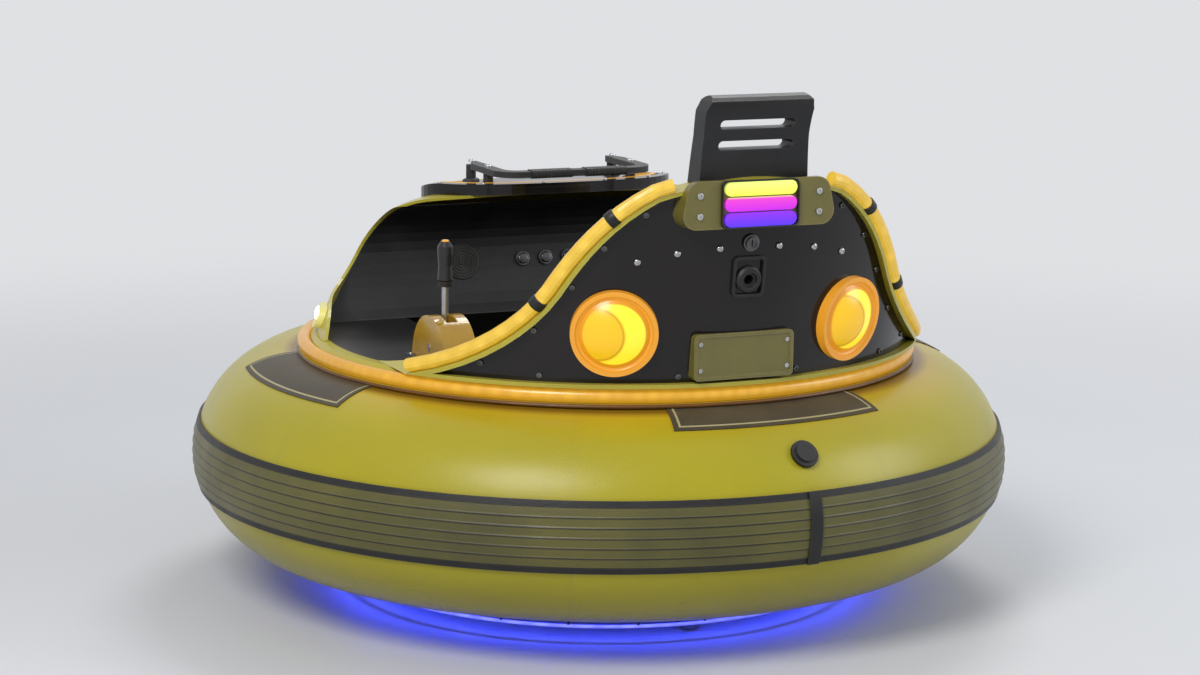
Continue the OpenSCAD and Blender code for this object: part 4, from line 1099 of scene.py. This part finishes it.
for side, sign in (("left", -1), ("right", 1)):
    spots = [at(sign * (WHEEL_X + 0.0179), BOLT_R * math.cos(a), WHEEL_Z + BOLT_R * math.sin(a))
             @ spin(sign * QUARTER, "Y") for a in map(math.radians, range(18, 378, 72))]
    add(hex_bolt(0.0055), "hub_bolts_" + side, spots, "zinc_steel", "wheel_" + side)
corners = [(x, y) for x in (-0.045, 0.045) for y in (-0.083, 0.083)]
plate_bolts = facing_down((dx, y + dy, 0.1236) for y in (0.430, -0.430) for dx, dy in corners)
add(hex_bolt(0.0055), "caster_plate_bolts", plate_bolts, "zinc_steel")
bracket_bolts = facing_down((x, y, 0.1348) for x in (-0.340, -0.365, 0.340, 0.365) for y in (-0.028, 0.028))
add(hex_bolt(0.0045), "wheel_bracket_bolts", bracket_bolts, "zinc_steel")
for end, y in (("front", 0.398), ("rear", -0.462)):
    nut = cylinder(6, 0.0095, 0.0045)
    step_in(nut, (0.0022, 0.0012), (0.002, -0.0014))
    spots = [at(sign * 0.0321, y, 0.050) @ spin(sign * QUARTER, "Y") for sign in (-1, 1)]
    add(nut, "axle_nuts_" + end, spots, "zinc_steel", "fork_" + end)
show("hub_bolts_left", "caster_plate_bolts", "wheel_bracket_bolts", "axle_nuts_front")

# %% [markdown]
# ### Batteries
# Two deep-cycle batteries sit in the tray. Each lid is a plate with rounded corners,
# with filler caps and two terminals. A flat strap holds the pair down.

# %% Battery lids, caps and strap
def slab(width, depth, high, corner, soft):
    return thicken(rounded_plane(width, depth, corner, 4), high, soft)

BATTERY_X, LID_TOP = (-0.135, 0.135), 0.287
CAP_X = (-0.075, -0.045, -0.015, 0.015, 0.045, 0.075)
lid_spots = [at(x, -0.215, 0.2811) for x in BATTERY_X]
add(slab(0.252, 0.162, 0.006, 0.008, 0.002), "battery_lids", lid_spots, "battery_plastic")
cap = cylinder(20, 0.011, 0.006, 0.003)
step_in(cap, (0.003, -0.002))
soften(cap, 0.0009, 2, lambda c, d: c.z > 0.0055 and c.xy.length > 0.0105)
cap_spots = [at(x + dx, -0.18, LID_TOP) for x in BATTERY_X for dx in CAP_X]
add(cap, "filler_caps", cap_spots, "dash_plastic")
pole = cylinder(24, 0.011, 0.002, 0.001)
step_in(pole, (0.003, 0.003))
narrow(0.88, 0.88)
soften(pole, 0.001, 2, lambda c, d: c.z > 0.0045)
pole_spots = [at(x + dx, -0.262, LID_TOP) for x in BATTERY_X for dx in (-0.1, 0.1)]
add(pole, "battery_terminals", pole_spots, "zinc_steel")
strap = slab(0.560, 0.030, 0.003, 0.004, 0.0008)
add(strap, "battery_strap", [at(0, -0.222, 0.2872)], "frame_paint")
show("battery_lids", "filler_caps", "battery_terminals", "battery_strap")

# %% [markdown]
# ### Skirt screws and underglow
# Round the foot of the skirt runs the blue light strip, and a little higher a row of
# screws. The strip's small lamps sit 47 mm apart. They are flat domes of some twenty
# faces, because there are seventy-two of them. Below the strip hangs a soft light
# tube, which shows as a thin pale line under the ring. It is a torus, held by small
# hangers with rounded edges.

# %% Skirt screws, blue lamps, light tube and hangers
skirt_spots = all_round(15, at(0.5549, 0, 0.088) @ spin(QUARTER, "Y"))
add(screw(0.006), "skirt_screws", skirt_spots, "zinc_steel")
dot = cylinder(10, 0.0045, 0.002, 0.001)
step_in(dot, (0.0016, 0))
bpy.ops.transform.translate(value=(0, 0, 0.0008))
add(dot, "blue_lamps", all_round(5, at(0.5375, 0, 0.0617) @ spin(math.pi, "X")), "blue_dot")
torus(0.540, 0.0036, 180, (0, 0, 0.0345), "glow_tube", "pale_blue_tube")
hanger = soften(box(0.0056, 0.005, 0.026), 0.0012, 2, lambda c, d: True)
add(hanger, "glow_hangers", all_round(15, at(0.540, 0, 0.0495)), "skirt_plastic")
show("skirt_screws", "blue_lamps", "glow_tube", "glow_hangers")
print("added pieces:", len(made), "faces in all:", sum(made.values()))

# %% [markdown]
# ## Dressing the parts
# Each part of the model gets its finish through its material slots. Nothing moves.

# %% Finishes on the model's parts
DRESS = {
    "ring_welded": "tube", "band_cloth": "rub_band", "patch_cloth": "tube_patches",
    "black_rubber": "band_welts valve_cap", "deck_laminate": "body_deck",
    "yellow_laminate": "rear_shell hood nose_panel", "olive_laminate": "plate light_bracket",
    "black_laminate": "rear_panel visor visor_trim", "dash_plastic": "headrest dash_panel charge_port",
    "silver_laminate": "nose_bands", "seat_hide": "seat_cushion back_cushion", "ribbed_mat": "floor_mat",
    "amber_tube": "rim_strip visor_strips", "gold_tube": "arch_strip", "amber_ring": "lamp_bezels",
    "lamp_lens": "lamp_lenses", "amber_shell": "lever_housing_left lever_housing_right",
    "yellow_lens": "side_lamps head_lamps", "module_bars": "light_bar", "bar_paint": "grab_bar",
    "lever_finish": "lever_left lever_right", "skirt_plastic": "skirt", "blue_strip": "underglow",
    "frame_paint": "chassis_frame battery_tray wheel_brackets caster_plates", "battery_plastic": "batteries",
    "tyre_rubber": "tyre_left tyre_right", "cast_hub": "hub_left hub_right",
    "zinc_steel": "fork_front fork_rear", "caster_tread": "caster_front caster_rear"}
clear_selection()
floor.data.materials.append(finishes["floor_pale"])
for finish_name, names in DRESS.items():
    for name in names.split():
        for slot in nodes[name].material_slots:
            slot.material = finishes[finish_name]
bare = [o.name for o in nodes.values() if any(s.material not in finishes.values() for s in o.material_slots)]
print("parts dressed:", len(nodes) - len(bare), "left bare:", bare)
